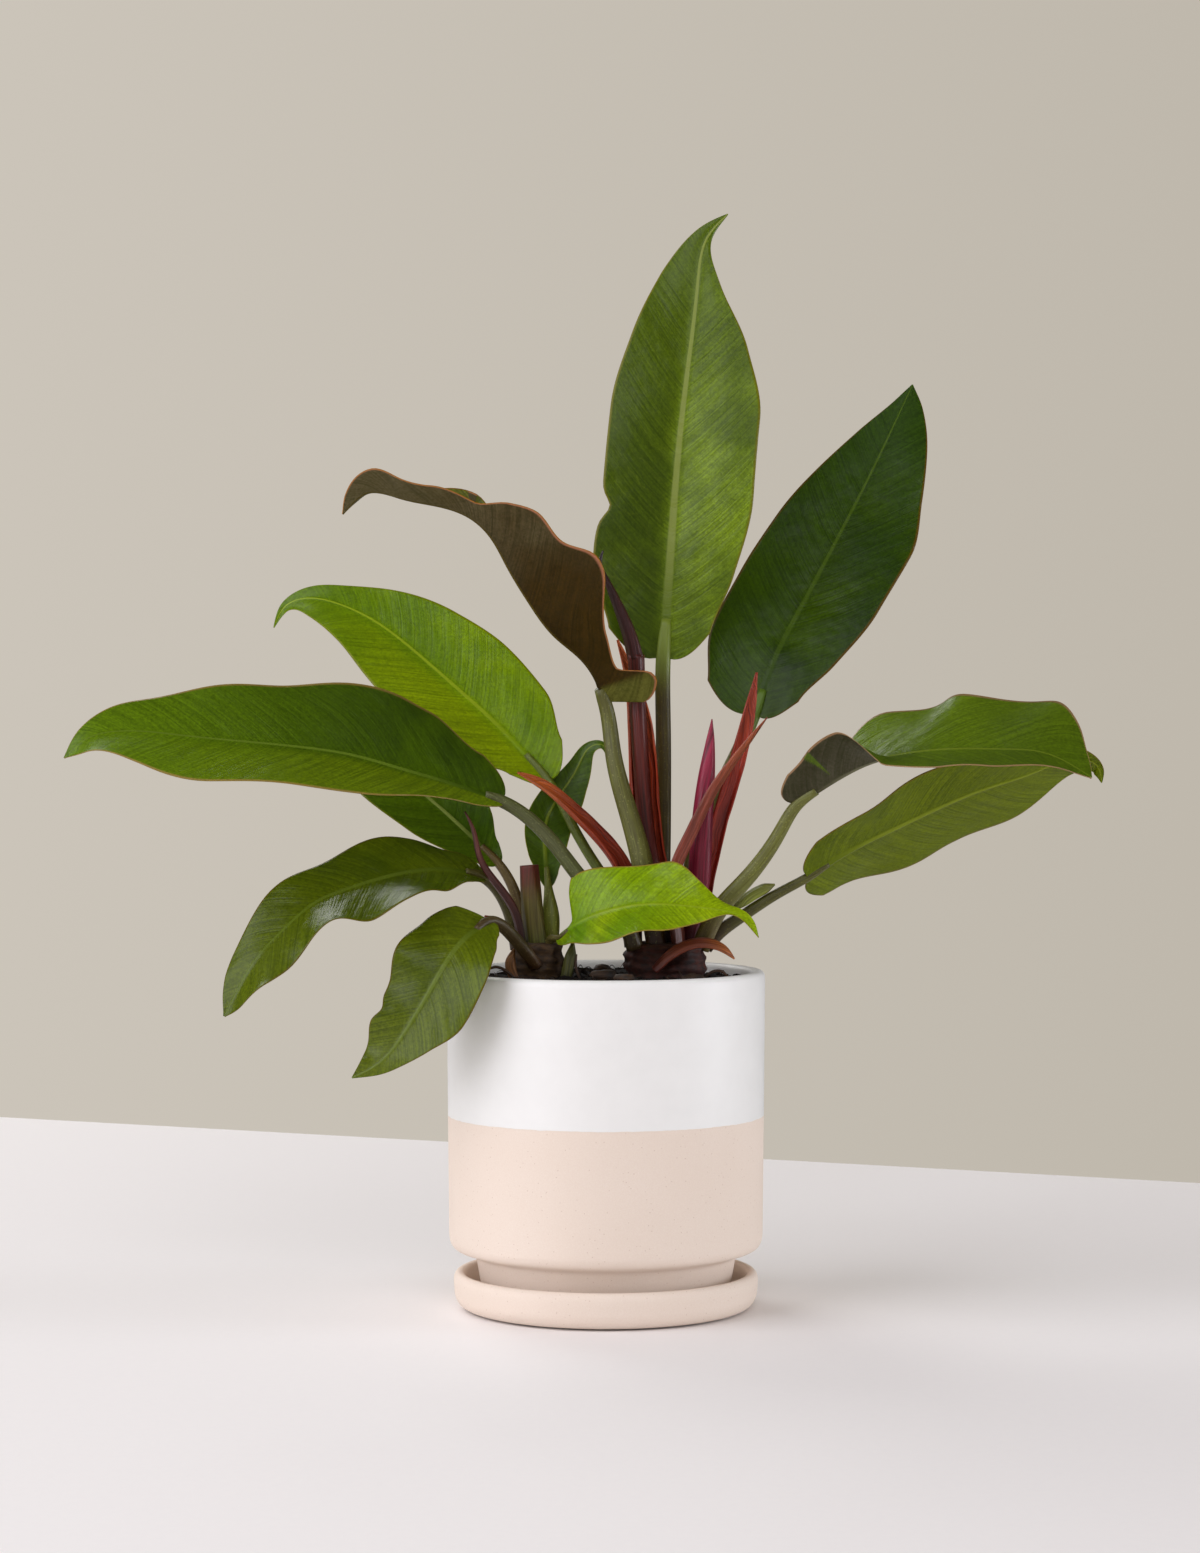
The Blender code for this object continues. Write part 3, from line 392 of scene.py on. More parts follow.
# ---------------------------------------------------------------- crowns
# Two short thick stems just out of the mix, dark and corky, with the torn feet of old leaves round them
# and the scars of others above. The stalks and sheaths stand on them or close beside them.
MAIN_CROWN, MAIN_CROWN_RADIUS = (31.0, 0.0), 21.5
SIDE_CROWN, SIDE_CROWN_RADIUS = (-35.0, -8.0), 13.5
CROWN_FOOT, CROWN_TOP = 168, 188.0
SIDE_SHARE, DOME_SHARE = 0.7, 0.3      # of the rows: how many make the side, and how many the rounded top


def corky_bark(name, dark, light):
    """Corky young bark: dull, cracked across every 1.6 mm or so, with lighter worn ridges."""
    finish, tree, shader = new_finish(name)
    where = node(tree, "ShaderNodeTexCoord").outputs["Object"]
    stretched = node(tree, "ShaderNodeMapping", None, {"Vector": where, "Scale": (240, 240, 620)}).outputs[0]
    cracks = node(tree, "ShaderNodeTexNoise", None, {"Vector": stretched, "Scale": 1.0, "Detail": 5.0}).outputs[0]
    cloud = node(tree, "ShaderNodeTexNoise", None, {"Vector": where, "Scale": 130.0, "Detail": 3.0}).outputs[0]
    tone = node(tree, "ShaderNodeMath", MULTIPLY, {0: cracks, 1: cloud}).outputs[0]
    tone = node(tree, "ShaderNodeMapRange", None, {"Value": tone, "From Min": 0.12, "From Max": 0.42}).outputs[0]
    colour = node(tree, "ShaderNodeMix", COLOUR_MIX, {0: tone, 6: paint(dark), 7: paint(light)}).outputs[2]
    rough = node(tree, "ShaderNodeMapRange", None, {"Value": cracks, "To Min": 0.6, "To Max": 0.9}).outputs[0]
    bump = node(tree, "ShaderNodeBump", None, {"Strength": 0.9, "Distance": 0.0007, "Height": cracks}).outputs[0]
    join(tree, shader, {"Base Color": colour, "Roughness": rough, "Normal": bump})
    return finish


def crown(name, centre, radius, finish, cad_node):
    """A squat stem: a torn lower edge, sides ringed by leaf scars, and a rounded top."""
    points, faces = [], []
    rows, steps = 26, 64
    for row in range(rows + 1):
        share = row / rows
        for k in range(steps):
            angle = 2 * math.pi * k / steps
            if share < SIDE_SHARE:
                height = CROWN_FOOT + (CROWN_TOP - CROWN_FOOT) * share / SIDE_SHARE
                reach = radius * (0.86 + 0.14 * min(1, share / 0.45))
                reach *= 1 + 0.03 * math.sin(share * 30 + 1.2 * math.sin(angle + share * 4))
                torn = 0.25 + 0.35 * abs(math.sin(2.5 * angle + 0.8)) + 0.08 * math.sin(11 * angle)
                reach *= 1 + 0.07 * min(1.0, max(0.0, 12 * (torn - share)))
            else:
                dome = (share - SIDE_SHARE) / DOME_SHARE
                height = CROWN_TOP + 1.2 * math.sin(dome * math.pi / 2)
                reach = radius * max(0.0, math.cos(dome * math.pi / 2)) ** 0.55
            way = Vector((math.cos(angle) * 1.6, math.sin(angle) * 1.6, height * 0.11))
            reach *= 1 + 0.09 * noise.fractal(way, 1.0, 2.0, 3) - 0.05
            points.append((centre[0] + reach * math.cos(angle), centre[1] + reach * math.sin(angle), height))
    for row in range(rows):
        for k in range(steps):
            j = (k + 1) % steps
            faces.append((row * steps + k, row * steps + j, (row + 1) * steps + j, (row + 1) * steps + k))
    faces.append(tuple(range(steps - 1, -1, -1)))
    piece = add_mesh(name, points, faces, [finish])
    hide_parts(cad_node)
    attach(piece, "root")


crown("crown_main", MAIN_CROWN, MAIN_CROWN_RADIUS, corky_bark("maroon_bark", "200c08", "58281c"), "stem_main")
crown("crown_side", SIDE_CROWN, SIDE_CROWN_RADIUS, corky_bark("olive_bark", "24150a", "5a4020"), "stem_side")


# ---------------------------------------------------------------- leaf stalks
# Firm green-brown petioles, up to 11 mm thick at the foot, each rising from a crown and running on into
# the midrib of its leaf. The skin is smooth, finely streaked along its length and flecked with pale dots.
TINT = {"data_type": "RGBA", "blend_type": "MULTIPLY"}
SHORT = 0.002          # the step along a route, as a share of it, that shows which way it runs


def knots_of(points):
    """How far along a route each of its points lies, from 0 to 1."""
    steps = np.linalg.norm(np.diff(np.asarray(points, float), axis=0), axis=1)
    return np.concatenate(([0.0], np.cumsum(steps))) / steps.sum()


def spline(points, amounts):
    """Points on a smooth curve through the given points, at fractions of the way along."""
    points = np.asarray(points, float)
    knots = knots_of(points)
    count = len(knots)
    spans = np.diff(knots)
    matrix = np.eye(count)
    right = np.zeros((count, points.shape[1]))
    for i in range(1, count - 1):
        matrix[i, i - 1:i + 2] = (spans[i - 1], 2 * (spans[i - 1] + spans[i]), spans[i])
        right[i] = 3 * ((points[i + 1] - points[i]) / spans[i] - (points[i] - points[i - 1]) / spans[i - 1])
    bend = np.linalg.solve(matrix, right)
    amounts = np.clip(np.asarray(amounts, float), 0, 1)
    k = np.clip(np.searchsorted(knots, amounts, side="right") - 1, 0, count - 2)
    s = (amounts - knots[k])[:, None]
    span = spans[k][:, None]
    slope = (points[k + 1] - points[k]) / span - span * (2 * bend[k] + bend[k + 1]) / 3
    return points[k] + slope * s + bend[k] * s ** 2 + (bend[k + 1] - bend[k]) / (3 * span) * s ** 3


def eased(stations, values, amounts):
    """Smooth values between stations, without overshooting them."""
    stations, values = np.asarray(stations, float), np.asarray(values, float)
    rise = np.diff(values) / np.diff(stations)
    slope = np.zeros(len(values))
    for i in range(1, len(values) - 1):
        if rise[i - 1] * rise[i] > 0:
            slope[i] = 2 * rise[i - 1] * rise[i] / (rise[i - 1] + rise[i])
    slope[0], slope[-1] = rise[0], rise[-1]
    k = np.clip(np.searchsorted(stations, amounts, side="right") - 1, 0, len(values) - 2)
    span = stations[k + 1] - stations[k]
    u = (amounts - stations[k]) / span
    return ((2 * u ** 3 - 3 * u ** 2 + 1) * values[k] + (u ** 3 - 2 * u ** 2 + u) * span * slope[k]
            + (3 * u ** 2 - 2 * u ** 3) * values[k + 1] + (u ** 3 - u ** 2) * span * slope[k + 1])


def unit(vectors):
    """The same directions at length one."""
    return vectors / np.linalg.norm(vectors, axis=-1, keepdims=True)


def rolled_skin(name, rings, finish):
    """Skin a row of equal rings into one closed piece, with two maps along and round it.

    length_map is in metres, for patterns of a real size; share_map runs from 0 to 1.
    """
    rows, sides = len(rings), len(rings[0])
    points = [point for ring in rings for point in ring]
    faces = []
    for row in range(rows - 1):
        for k in range(sides):
            j = (k + 1) % sides
            faces.append((row * sides + k, row * sides + j, (row + 1) * sides + j, (row + 1) * sides + k))
    faces += [tuple(range(sides - 1, -1, -1)), tuple(range((rows - 1) * sides, rows * sides))]
    piece = add_mesh(name, points, faces, [finish])
    centres = np.array([np.mean(ring, axis=0) for ring in rings])
    along = np.concatenate(([0], np.cumsum(np.linalg.norm(np.diff(centres, axis=0), axis=1))))
    length_map = piece.data.uv_layers.new(name="length_map")
    share_map = piece.data.uv_layers.new(name="share_map")
    for face in piece.data.polygons:
        wraps = max(v % sides for v in face.vertices) - min(v % sides for v in face.vertices) > sides / 2
        for corner in face.loop_indices:
            vert = piece.data.loops[corner].vertex_index
            row, k = divmod(vert, sides)
            round_share = 1.0 if wraps and k == 0 else k / sides
            girth = 2 * math.pi * np.linalg.norm(np.array(rings[row][0]) - centres[row])
            length_map.data[corner].uv = (along[row] * MM, round_share * girth * MM)
            share_map.data[corner].uv = (along[row] / max(along[-1], 1e-6), round_share)
    face_outward(piece)
    return piece


def swept_rings(route, radii, sides, rows, groove=0.0, ridges=0.0):
    """Rings square to a route; a groove flattens the upper side and ridges pleat it lengthwise."""
    amounts = np.linspace(0, 1, rows)
    middle = spline(route, amounts)
    ahead = unit(spline(route, amounts + SHORT) - spline(route, amounts - SHORT))
    size = eased(knots_of(route), radii, amounts)
    side = unit(np.cross(ahead[0], (0.3, 1.0, 0.1)))
    rings = []
    for centre, along, radius, amount in zip(middle, ahead, size, amounts):
        side = unit(side - along * np.dot(side, along))
        up = np.cross(along, side)
        ring = []
        for turn in np.linspace(0, 2 * math.pi, sides, endpoint=False):
            reach = radius * (1 - groove * max(0.0, math.sin(turn)) ** 6 + ridges * math.sin(5 * turn + 3 * amount))
            ring.append(centre + reach * (math.cos(turn) * side + math.sin(turn) * up))
        rings.append(ring)
    return rings


def stalk_skin(name, base, upper, fleck, tip=None):
    """Smooth waxy skin: darker at its foot, greener above, with 0.7 mm streaks and pale flecks."""
    finish, tree, shader = new_finish(name)
    length = node(tree, "ShaderNodeUVMap", {"uv_map": "length_map"}).outputs[0]
    share = node(tree, "ShaderNodeUVMap", {"uv_map": "share_map"}).outputs[0]
    where = node(tree, "ShaderNodeTexCoord").outputs["Object"]
    height = node(tree, "ShaderNodeSeparateXYZ", None, {0: share}).outputs[0]
    rise = node(tree, "ShaderNodeMapRange", SMOOTH, {"Value": height, "From Min": 0.0, "From Max": 0.35}).outputs[0]
    colour = node(tree, "ShaderNodeMix", COLOUR_MIX, {0: rise, 6: paint(base), 7: paint(upper)}).outputs[2]
    streak_way = node(tree, "ShaderNodeMapping", None, {"Vector": length, "Scale": (60, 1500, 1)}).outputs[0]
    streak = node(tree, "ShaderNodeTexNoise", None, {"Vector": streak_way, "Scale": 1.0, "Detail": 3.0}).outputs[0]
    dark = node(tree, "ShaderNodeMapRange", None,
                {"Value": streak, "From Min": 0.35, "From Max": 0.65, "To Min": 0.55, "To Max": 0.0}).outputs[0]
    colour = node(tree, "ShaderNodeMix", TINT, {0: dark, 6: colour, 7: paint("8c6a50")}).outputs[2]
    dots = node(tree, "ShaderNodeTexVoronoi", None, {"Vector": where, "Scale": 620.0}).outputs[0]
    dot_mask = node(tree, "ShaderNodeMapRange", None,
                    {"Value": dots, "From Min": 0.16, "From Max": 0.24, "To Min": 0.55, "To Max": 0.0}).outputs[0]
    colour = node(tree, "ShaderNodeMix", COLOUR_MIX, {0: dot_mask, 6: colour, 7: paint(fleck)}).outputs[2]
    cloud = node(tree, "ShaderNodeTexNoise", None, {"Vector": where, "Scale": 120.0, "Detail": 3.0}).outputs[0]
    shade = node(tree, "ShaderNodeMapRange", None,
                 {"Value": cloud, "From Min": 0.3, "From Max": 0.7, "To Min": 0.0, "To Max": 0.35}).outputs[0]
    colour = node(tree, "ShaderNodeMix", TINT, {0: shade, 6: colour, 7: paint("a08878")}).outputs[2]
    if tip:
        under_blade = node(tree, "ShaderNodeMapRange", SMOOTH,
                           {"Value": height, "From Min": 0.74, "From Max": 0.94}).outputs[0]
        colour = node(tree, "ShaderNodeMix", COLOUR_MIX, {0: under_blade, 6: colour, 7: paint(tip)}).outputs[2]
    rough = node(tree, "ShaderNodeMapRange", None, {"Value": cloud, "To Min": 0.34, "To Max": 0.52}).outputs[0]
    bump = node(tree, "ShaderNodeBump", None, {"Strength": 0.7, "Distance": 0.0003, "Height": streak}).outputs[0]
    join(tree, shader, {"Base Color": colour, "Roughness": rough, "Normal": bump})
    shader.inputs["IOR"].default_value = 1.45
    return finish


# Each stalk: its route in millimetres, its radius at each point, and its foot, upper and fleck colours,
# with a fourth for the top of the two stalks that turn green under their blades.
STALKS = {
    "top": ([(27, 16, 186), (29, 16, 215), (30, 16, 260), (30, 16, 300), (30, 16, 337), (31.6, 18.5, 357)],
            (4.8, 4.3, 4.1, 4.0, 3.9, 2.6), ("38240c", "4c4410", "6c681c", "748428")),
    "upper_right": ([(40, 15.5, 186), (42, 16, 213), (50, 18.5, 245), (66, 22, 281), (78, 25, 307), (83, 28, 320)],
                    (4.4, 4.2, 4.0, 3.7, 3.4, 2.2), ("5c3a1c", "6a6820", "8a8838", "56701a")),
    "right": ([(48.5, -7, 186), (59, -9, 207), (70, -10, 219.5), (90, -11, 247), (99, -12, 261), (108, -16, 267.5)],
              (5.0, 4.6, 4.3, 3.5, 3.1, 2.2), ("6b5a2c", "70742c", "969648")),
    "right_low": ([(51.5, 4, 186), (58, 5, 193), (67, 6, 199.5), (90, 8, 214), (105, 10, 222), (116, 13, 229)],
                  (4.2, 3.8, 3.3, 2.7, 2.4, 1.8), ("4a3014", "5a5a18", "7a7a30")),
    "arching_left": ([(26.5, -9.5, 186), (22.5, -10, 210), (19, -10, 229), (12, -9.5, 255), (4, -8.8, 285),
                      (-1, -8, 314), (-3.5, -11, 320)],
                     (5.4, 5.4, 5.6, 5.0, 4.3, 3.6, 2.6), ("4a2a12", "66682a", "90904a")),
    "bright_left": ([(13, 9, 186), (8, 10, 207), (-3, 13, 225), (-18, 18, 250), (-30, 25, 272), (-42, 31, 286)],
                    (3.4, 3.0, 2.8, 2.6, 2.3, 1.8), ("5a4a1c", "68781c", "8d9c3c")),
    "long_left": ([(15, -12, 186), (7, -13, 204), (-7, -13, 216.5), (-24, -14, 237), (-53, -15, 262),
                   (-62, -17.6, 265.5)],
                  (4.4, 4.1, 4.0, 3.8, 3.3, 2.2), ("5e4e30", "5c6234", "888a54")),
    "back_left": ([(-42, 3, 186), (-46, 7, 210), (-56, 14, 229), (-65, 18, 238)],
                  (3.4, 2.9, 2.4, 1.7), ("6a4424", "75622f", "988a50")),
    "drooping_left": ([(-45.5, -10, 186), (-49, -11, 203), (-63, -14, 223), (-72, -18, 226)],
                      (4.0, 3.6, 3.0, 2.0), ("4a3418", "58541c", "7a7834")),
    "hanging_front": ([(-36, -20, 178), (-46, -31, 192), (-59, -42, 202), (-65.5, -50, 198)],
                      (3.4, 3.4, 2.8, 1.9), ("5a4026", "5a4c2c", "80744a")),
    # small_back's colours are paler than the other stalks' to lift it out of the shade it stands in: painted light.
    "small_back": ([(-28, 1, 186), (-28.5, 2, 201), (-30, 6, 217), (-31, 12, 227)],
                   (3.2, 4.4, 2.2, 1.4), ("7a7c24", "808c30", "b4b45c")),
    "small_front": ([(-29.5, -13, 186), (-28.6, -14.8, 191.1), (-25, -20, 192), (-19, -24, 196.5)],
                    (2.2, 2.2, 1.7, 1.3), ("5a4428", "6a6430", "8c8a50")),
}
for name, (route, radii, colours) in STALKS.items():
    stalk = rolled_skin("stalk_" + name, swept_rings(route, radii, sides=22, rows=48, groove=0.16),
                        stalk_skin("waxy_stalk_" + name, *colours))
    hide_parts("petiole_" + name)
    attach(stalk, "root")

# ---------------------------------------------------------------- leaf blades
# Leathery blades half a millimetre thick, folded along a raised pale midrib, with side veins running
# forward to a thin coloured margin. Each grows out of the top of its stalk.
STATIONS = (0.0, 0.08, 0.2, 0.35, 0.5, 0.65, 0.8, 0.92, 1.0)
ROWS = 120
HALF_COLUMNS = np.linspace(0, 1, 25)[1:] ** 1.15
COLUMNS = np.sort(np.concatenate((-HALF_COLUMNS, [0.0], HALF_COLUMNS)))
THICK = 0.5                       # of a blade, in millimetres
FOLD_SOFTNESS = 2.2               # how round the fold along the midrib is, in millimetres
CURL_WIDTH = 30                   # curl is given for a blade this wide on one side
RIB_RISE, RIB_KEEL = 0.45, 1.5    # how far the midrib stands out above and below, in millimetres
UNEVENNESS = 0.9                  # how far a blade's margin strays from a smooth shape, in millimetres
UPPER_SHEEN, UNDER_SHEEN, UNDER_ROUGHNESS = 0.32, 0.14, 0.5


def blade_skin(name, colours, rib_width, vein_gap, rough, light, tip=None, lobe=None):
    """One face of a blade: waxy, with cloudy patches, pale side veins, fine ribbing and a thin margin.

    Side veins run forward at a slant, some 11 mm apart, with fine ribbing of 1.2 mm between them whose
    grooves are darkened as painted shade. The colours are those of the two cloud tones, the left half, the
    veins, the midrib and the margin, and the glow of light that comes through. The left half's colour is
    painted light on some blades and painted shade on others: lighter where that half turns to the lamp,
    darker where it turns away. tip colours the far end, and lobe the first few millimetres.
    """
    green, deep, left, vein, rib, margin, glow = colours
    finish, tree, shader = new_finish(name)
    share = node(tree, "ShaderNodeUVMap", {"uv_map": "share_map"}).outputs[0]
    spot = node(tree, "ShaderNodeSeparateXYZ", None, {0: share})
    along, across = spot.outputs[0], spot.outputs[1]
    flat = node(tree, "ShaderNodeUVMap", {"uv_map": "length_map"}).outputs[0]
    spread = node(tree, "ShaderNodeSeparateXYZ", None, {0: flat})
    sideways = spread.outputs[1]
    off_rib = node(tree, "ShaderNodeMath", {"operation": "ABSOLUTE"}, {0: sideways}).outputs[0]
    bow = node(tree, "ShaderNodeMath", {"operation": "POWER"}, {0: off_rib, 1: 1.15}).outputs[0]
    slant = node(tree, "ShaderNodeMath", MULTIPLY_ADD, {0: bow, 1: -1.35, 2: spread.outputs[0]}).outputs[0]
    where = node(tree, "ShaderNodeTexCoord").outputs["Object"]

    cloud = node(tree, "ShaderNodeTexNoise", None, {"Vector": where, "Scale": 34.0, "Detail": 3.0}).outputs[0]
    patch = node(tree, "ShaderNodeMapRange", None, {"Value": cloud, "From Min": 0.36, "From Max": 0.64}).outputs[0]
    colour = node(tree, "ShaderNodeMix", COLOUR_MIX, {0: patch, 6: paint(green), 7: paint(deep)}).outputs[2]
    # Painted light and shade: the left half gets its own colour, lighter on blades whose left half turns to the lamp
    # and darker where it turns away.
    half = node(tree, "ShaderNodeMapRange", SMOOTH,
                {"Value": across, "From Min": 0.02, "From Max": -0.25, "To Max": 0.75}).outputs[0]
    colour = node(tree, "ShaderNodeMix", COLOUR_MIX, {0: half, 6: colour, 7: paint(left)}).outputs[2]
    uneven = node(tree, "ShaderNodeMath", MULTIPLY_ADD, {0: cloud, 1: 0.5, 2: along}).outputs[0]
    far = node(tree, "ShaderNodeMapRange", SMOOTH,
               {"Value": uneven, "From Min": 0.5, "From Max": 1.15, "To Max": 0.9}).outputs[0]
    colour = node(tree, "ShaderNodeMix", COLOUR_MIX, {0: far, 6: colour, 7: paint(tip or green)}).outputs[2]

    if lobe:
        near = node(tree, "ShaderNodeMapRange", SMOOTH,
                    {"Value": along, "From Min": 0.03, "From Max": 0.05, "To Min": 1.0, "To Max": 0.0}).outputs[0]
        colour = node(tree, "ShaderNodeMix", COLOUR_MIX, {0: near, 6: colour, 7: paint(lobe)}).outputs[2]

    wander = node(tree, "ShaderNodeTexNoise", None, {"Vector": where, "Scale": 45.0}).outputs[0]
    beat = node(tree, "ShaderNodeMath", MULTIPLY_ADD, {0: wander, 1: 0.022, 2: slant}).outputs[0]
    beat = node(tree, "ShaderNodeMath", MULTIPLY, {0: beat, 1: 1000.0 / vein_gap}).outputs[0]
    wave = node(tree, "ShaderNodeMath", {"operation": "PINGPONG"}, {0: beat, 1: 0.5}).outputs[0]
    line = node(tree, "ShaderNodeMapRange", SMOOTH,
                {"Value": wave, "From Min": 0.0, "From Max": 0.07, "To Min": 0.3, "To Max": 0.0}).outputs[0]
    line = node(tree, "ShaderNodeMath", MULTIPLY, {0: line, 1: wander}).outputs[0]
    colour = node(tree, "ShaderNodeMix", COLOUR_MIX, {0: line, 6: colour, 7: paint(vein)}).outputs[2]

    slanted = node(tree, "ShaderNodeCombineXYZ", None, {0: slant, 1: sideways}).outputs[0]
    rib_way = node(tree, "ShaderNodeMapping", None, {"Vector": slanted, "Scale": (850, 28, 1)}).outputs[0]
    ribbing = node(tree, "ShaderNodeTexNoise", None, {"Vector": rib_way, "Scale": 1.0, "Detail": 2.0}).outputs[0]
    mottle = node(tree, "ShaderNodeTexNoise", None,
                  {"Vector": where, "Scale": 700.0, "Detail": 3.0, "Roughness": 0.65}).outputs[0]
    # Painted shade: the colour is darkened where the fine ribbing and the mottle run low, in their grooves.
    shade = node(tree, "ShaderNodeMath", MULTIPLY, {0: mottle, 1: ribbing}).outputs[0]
    shade = node(tree, "ShaderNodeMapRange", None,
                 {"Value": shade, "From Min": 0.14, "From Max": 0.36, "To Min": 0.62, "To Max": 0.0}).outputs[0]
    colour = node(tree, "ShaderNodeMix", TINT, {0: shade, 6: colour, 7: paint("6f7a40")}).outputs[2]

    limit = node(tree, "ShaderNodeMath", MULTIPLY_ADD,
                 {0: along, 1: -0.85 * rib_width * MM, 2: rib_width * MM}).outputs[0]
    over = node(tree, "ShaderNodeMath", {"operation": "DIVIDE"}, {0: off_rib, 1: limit}).outputs[0]
    rib_mask = node(tree, "ShaderNodeMapRange", SMOOTH,
                    {"Value": over, "From Min": 0.7, "From Max": 1.25, "To Min": 1.0, "To Max": 0.0}).outputs[0]
    foot = node(tree, "ShaderNodeMapRange", SMOOTH, {"Value": along, "From Min": 0.0, "From Max": 0.3}).outputs[0]
    pale = node(tree, "ShaderNodeMix", COLOUR_MIX, {0: foot, 6: paint(deep), 7: paint(rib)}).outputs[2]
    colour = node(tree, "ShaderNodeMix", COLOUR_MIX, {0: rib_mask, 6: colour, 7: pale}).outputs[2]

    outer = node(tree, "ShaderNodeMath", {"operation": "ABSOLUTE"}, {0: across}).outputs[0]
    edge = node(tree, "ShaderNodeMapRange", SMOOTH,
                {"Value": outer, "From Min": 0.955, "From Max": 0.99, "To Max": 0.85}).outputs[0]
    colour = node(tree, "ShaderNodeMix", COLOUR_MIX, {0: edge, 6: colour, 7: paint(margin)}).outputs[2]

    satin = node(tree, "ShaderNodeMapRange", None,
                 {"Value": cloud, "To Min": rough - 0.08, "To Max": rough + 0.12}).outputs[0]
    shader.inputs["IOR"].default_value = 1.45
    shader.inputs["Specular IOR Level"].default_value = UPPER_SHEEN if rough < UNDER_ROUGHNESS else UNDER_SHEEN
    swell = node(tree, "ShaderNodeMapRange", SMOOTH,
                 {"Value": wave, "From Min": 0.0, "From Max": 0.5, "To Max": 0.4}).outputs[0]
    height = node(tree, "ShaderNodeMath", MULTIPLY_ADD, {0: ribbing, 1: 0.8, 2: swell}).outputs[0]
    height = node(tree, "ShaderNodeMath", MULTIPLY_ADD, {0: cloud, 1: 9.0, 2: height}).outputs[0]
    height = node(tree, "ShaderNodeMath", MULTIPLY_ADD, {0: mottle, 1: 0.12, 2: height}).outputs[0]
    calm = node(tree, "ShaderNodeMapRange", SMOOTH,
                {"Value": along, "From Min": 0.6, "From Max": 0.92, "To Min": 0.6, "To Max": 0.08}).outputs[0]
    bump = node(tree, "ShaderNodeBump", None, {"Strength": calm, "Distance": 0.00045, "Height": height}).outputs[0]
    join(tree, shader, {"Base Color": colour, "Roughness": satin, "Normal": bump})

    through = node(tree, "ShaderNodeBsdfTranslucent", None, {"Color": paint(glow)})
    both = node(tree, "ShaderNodeMixShader", None, {0: light, 1: shader.outputs[0], 2: through.outputs[0]})
    join(tree, tree.nodes["Material Output"], {"Surface": both.outputs[0]})
    return finish


def side_width(blade, side, amount):
    """Half width of a side at a place along the midrib: smooth between stations, with its own nicks."""
    widths = blade[side]
    stations = (0.0, *blade.get("stations_" + side, STATIONS[1:-1]), 1.0)
    reach = eased(stations, (0.9 * widths[0], *widths, 0.25), np.array([amount]))[0]
    reach *= min(1.0, (max(amount, 0.0) / stations[1]) ** blade.get("blunt", 0.42))
    for nick_side, place, span, depth in blade.get("nicks", ()):
        if nick_side == side:
            reach -= depth * math.exp(-((amount - place) / span) ** 2)
    return max(reach, 0.2)


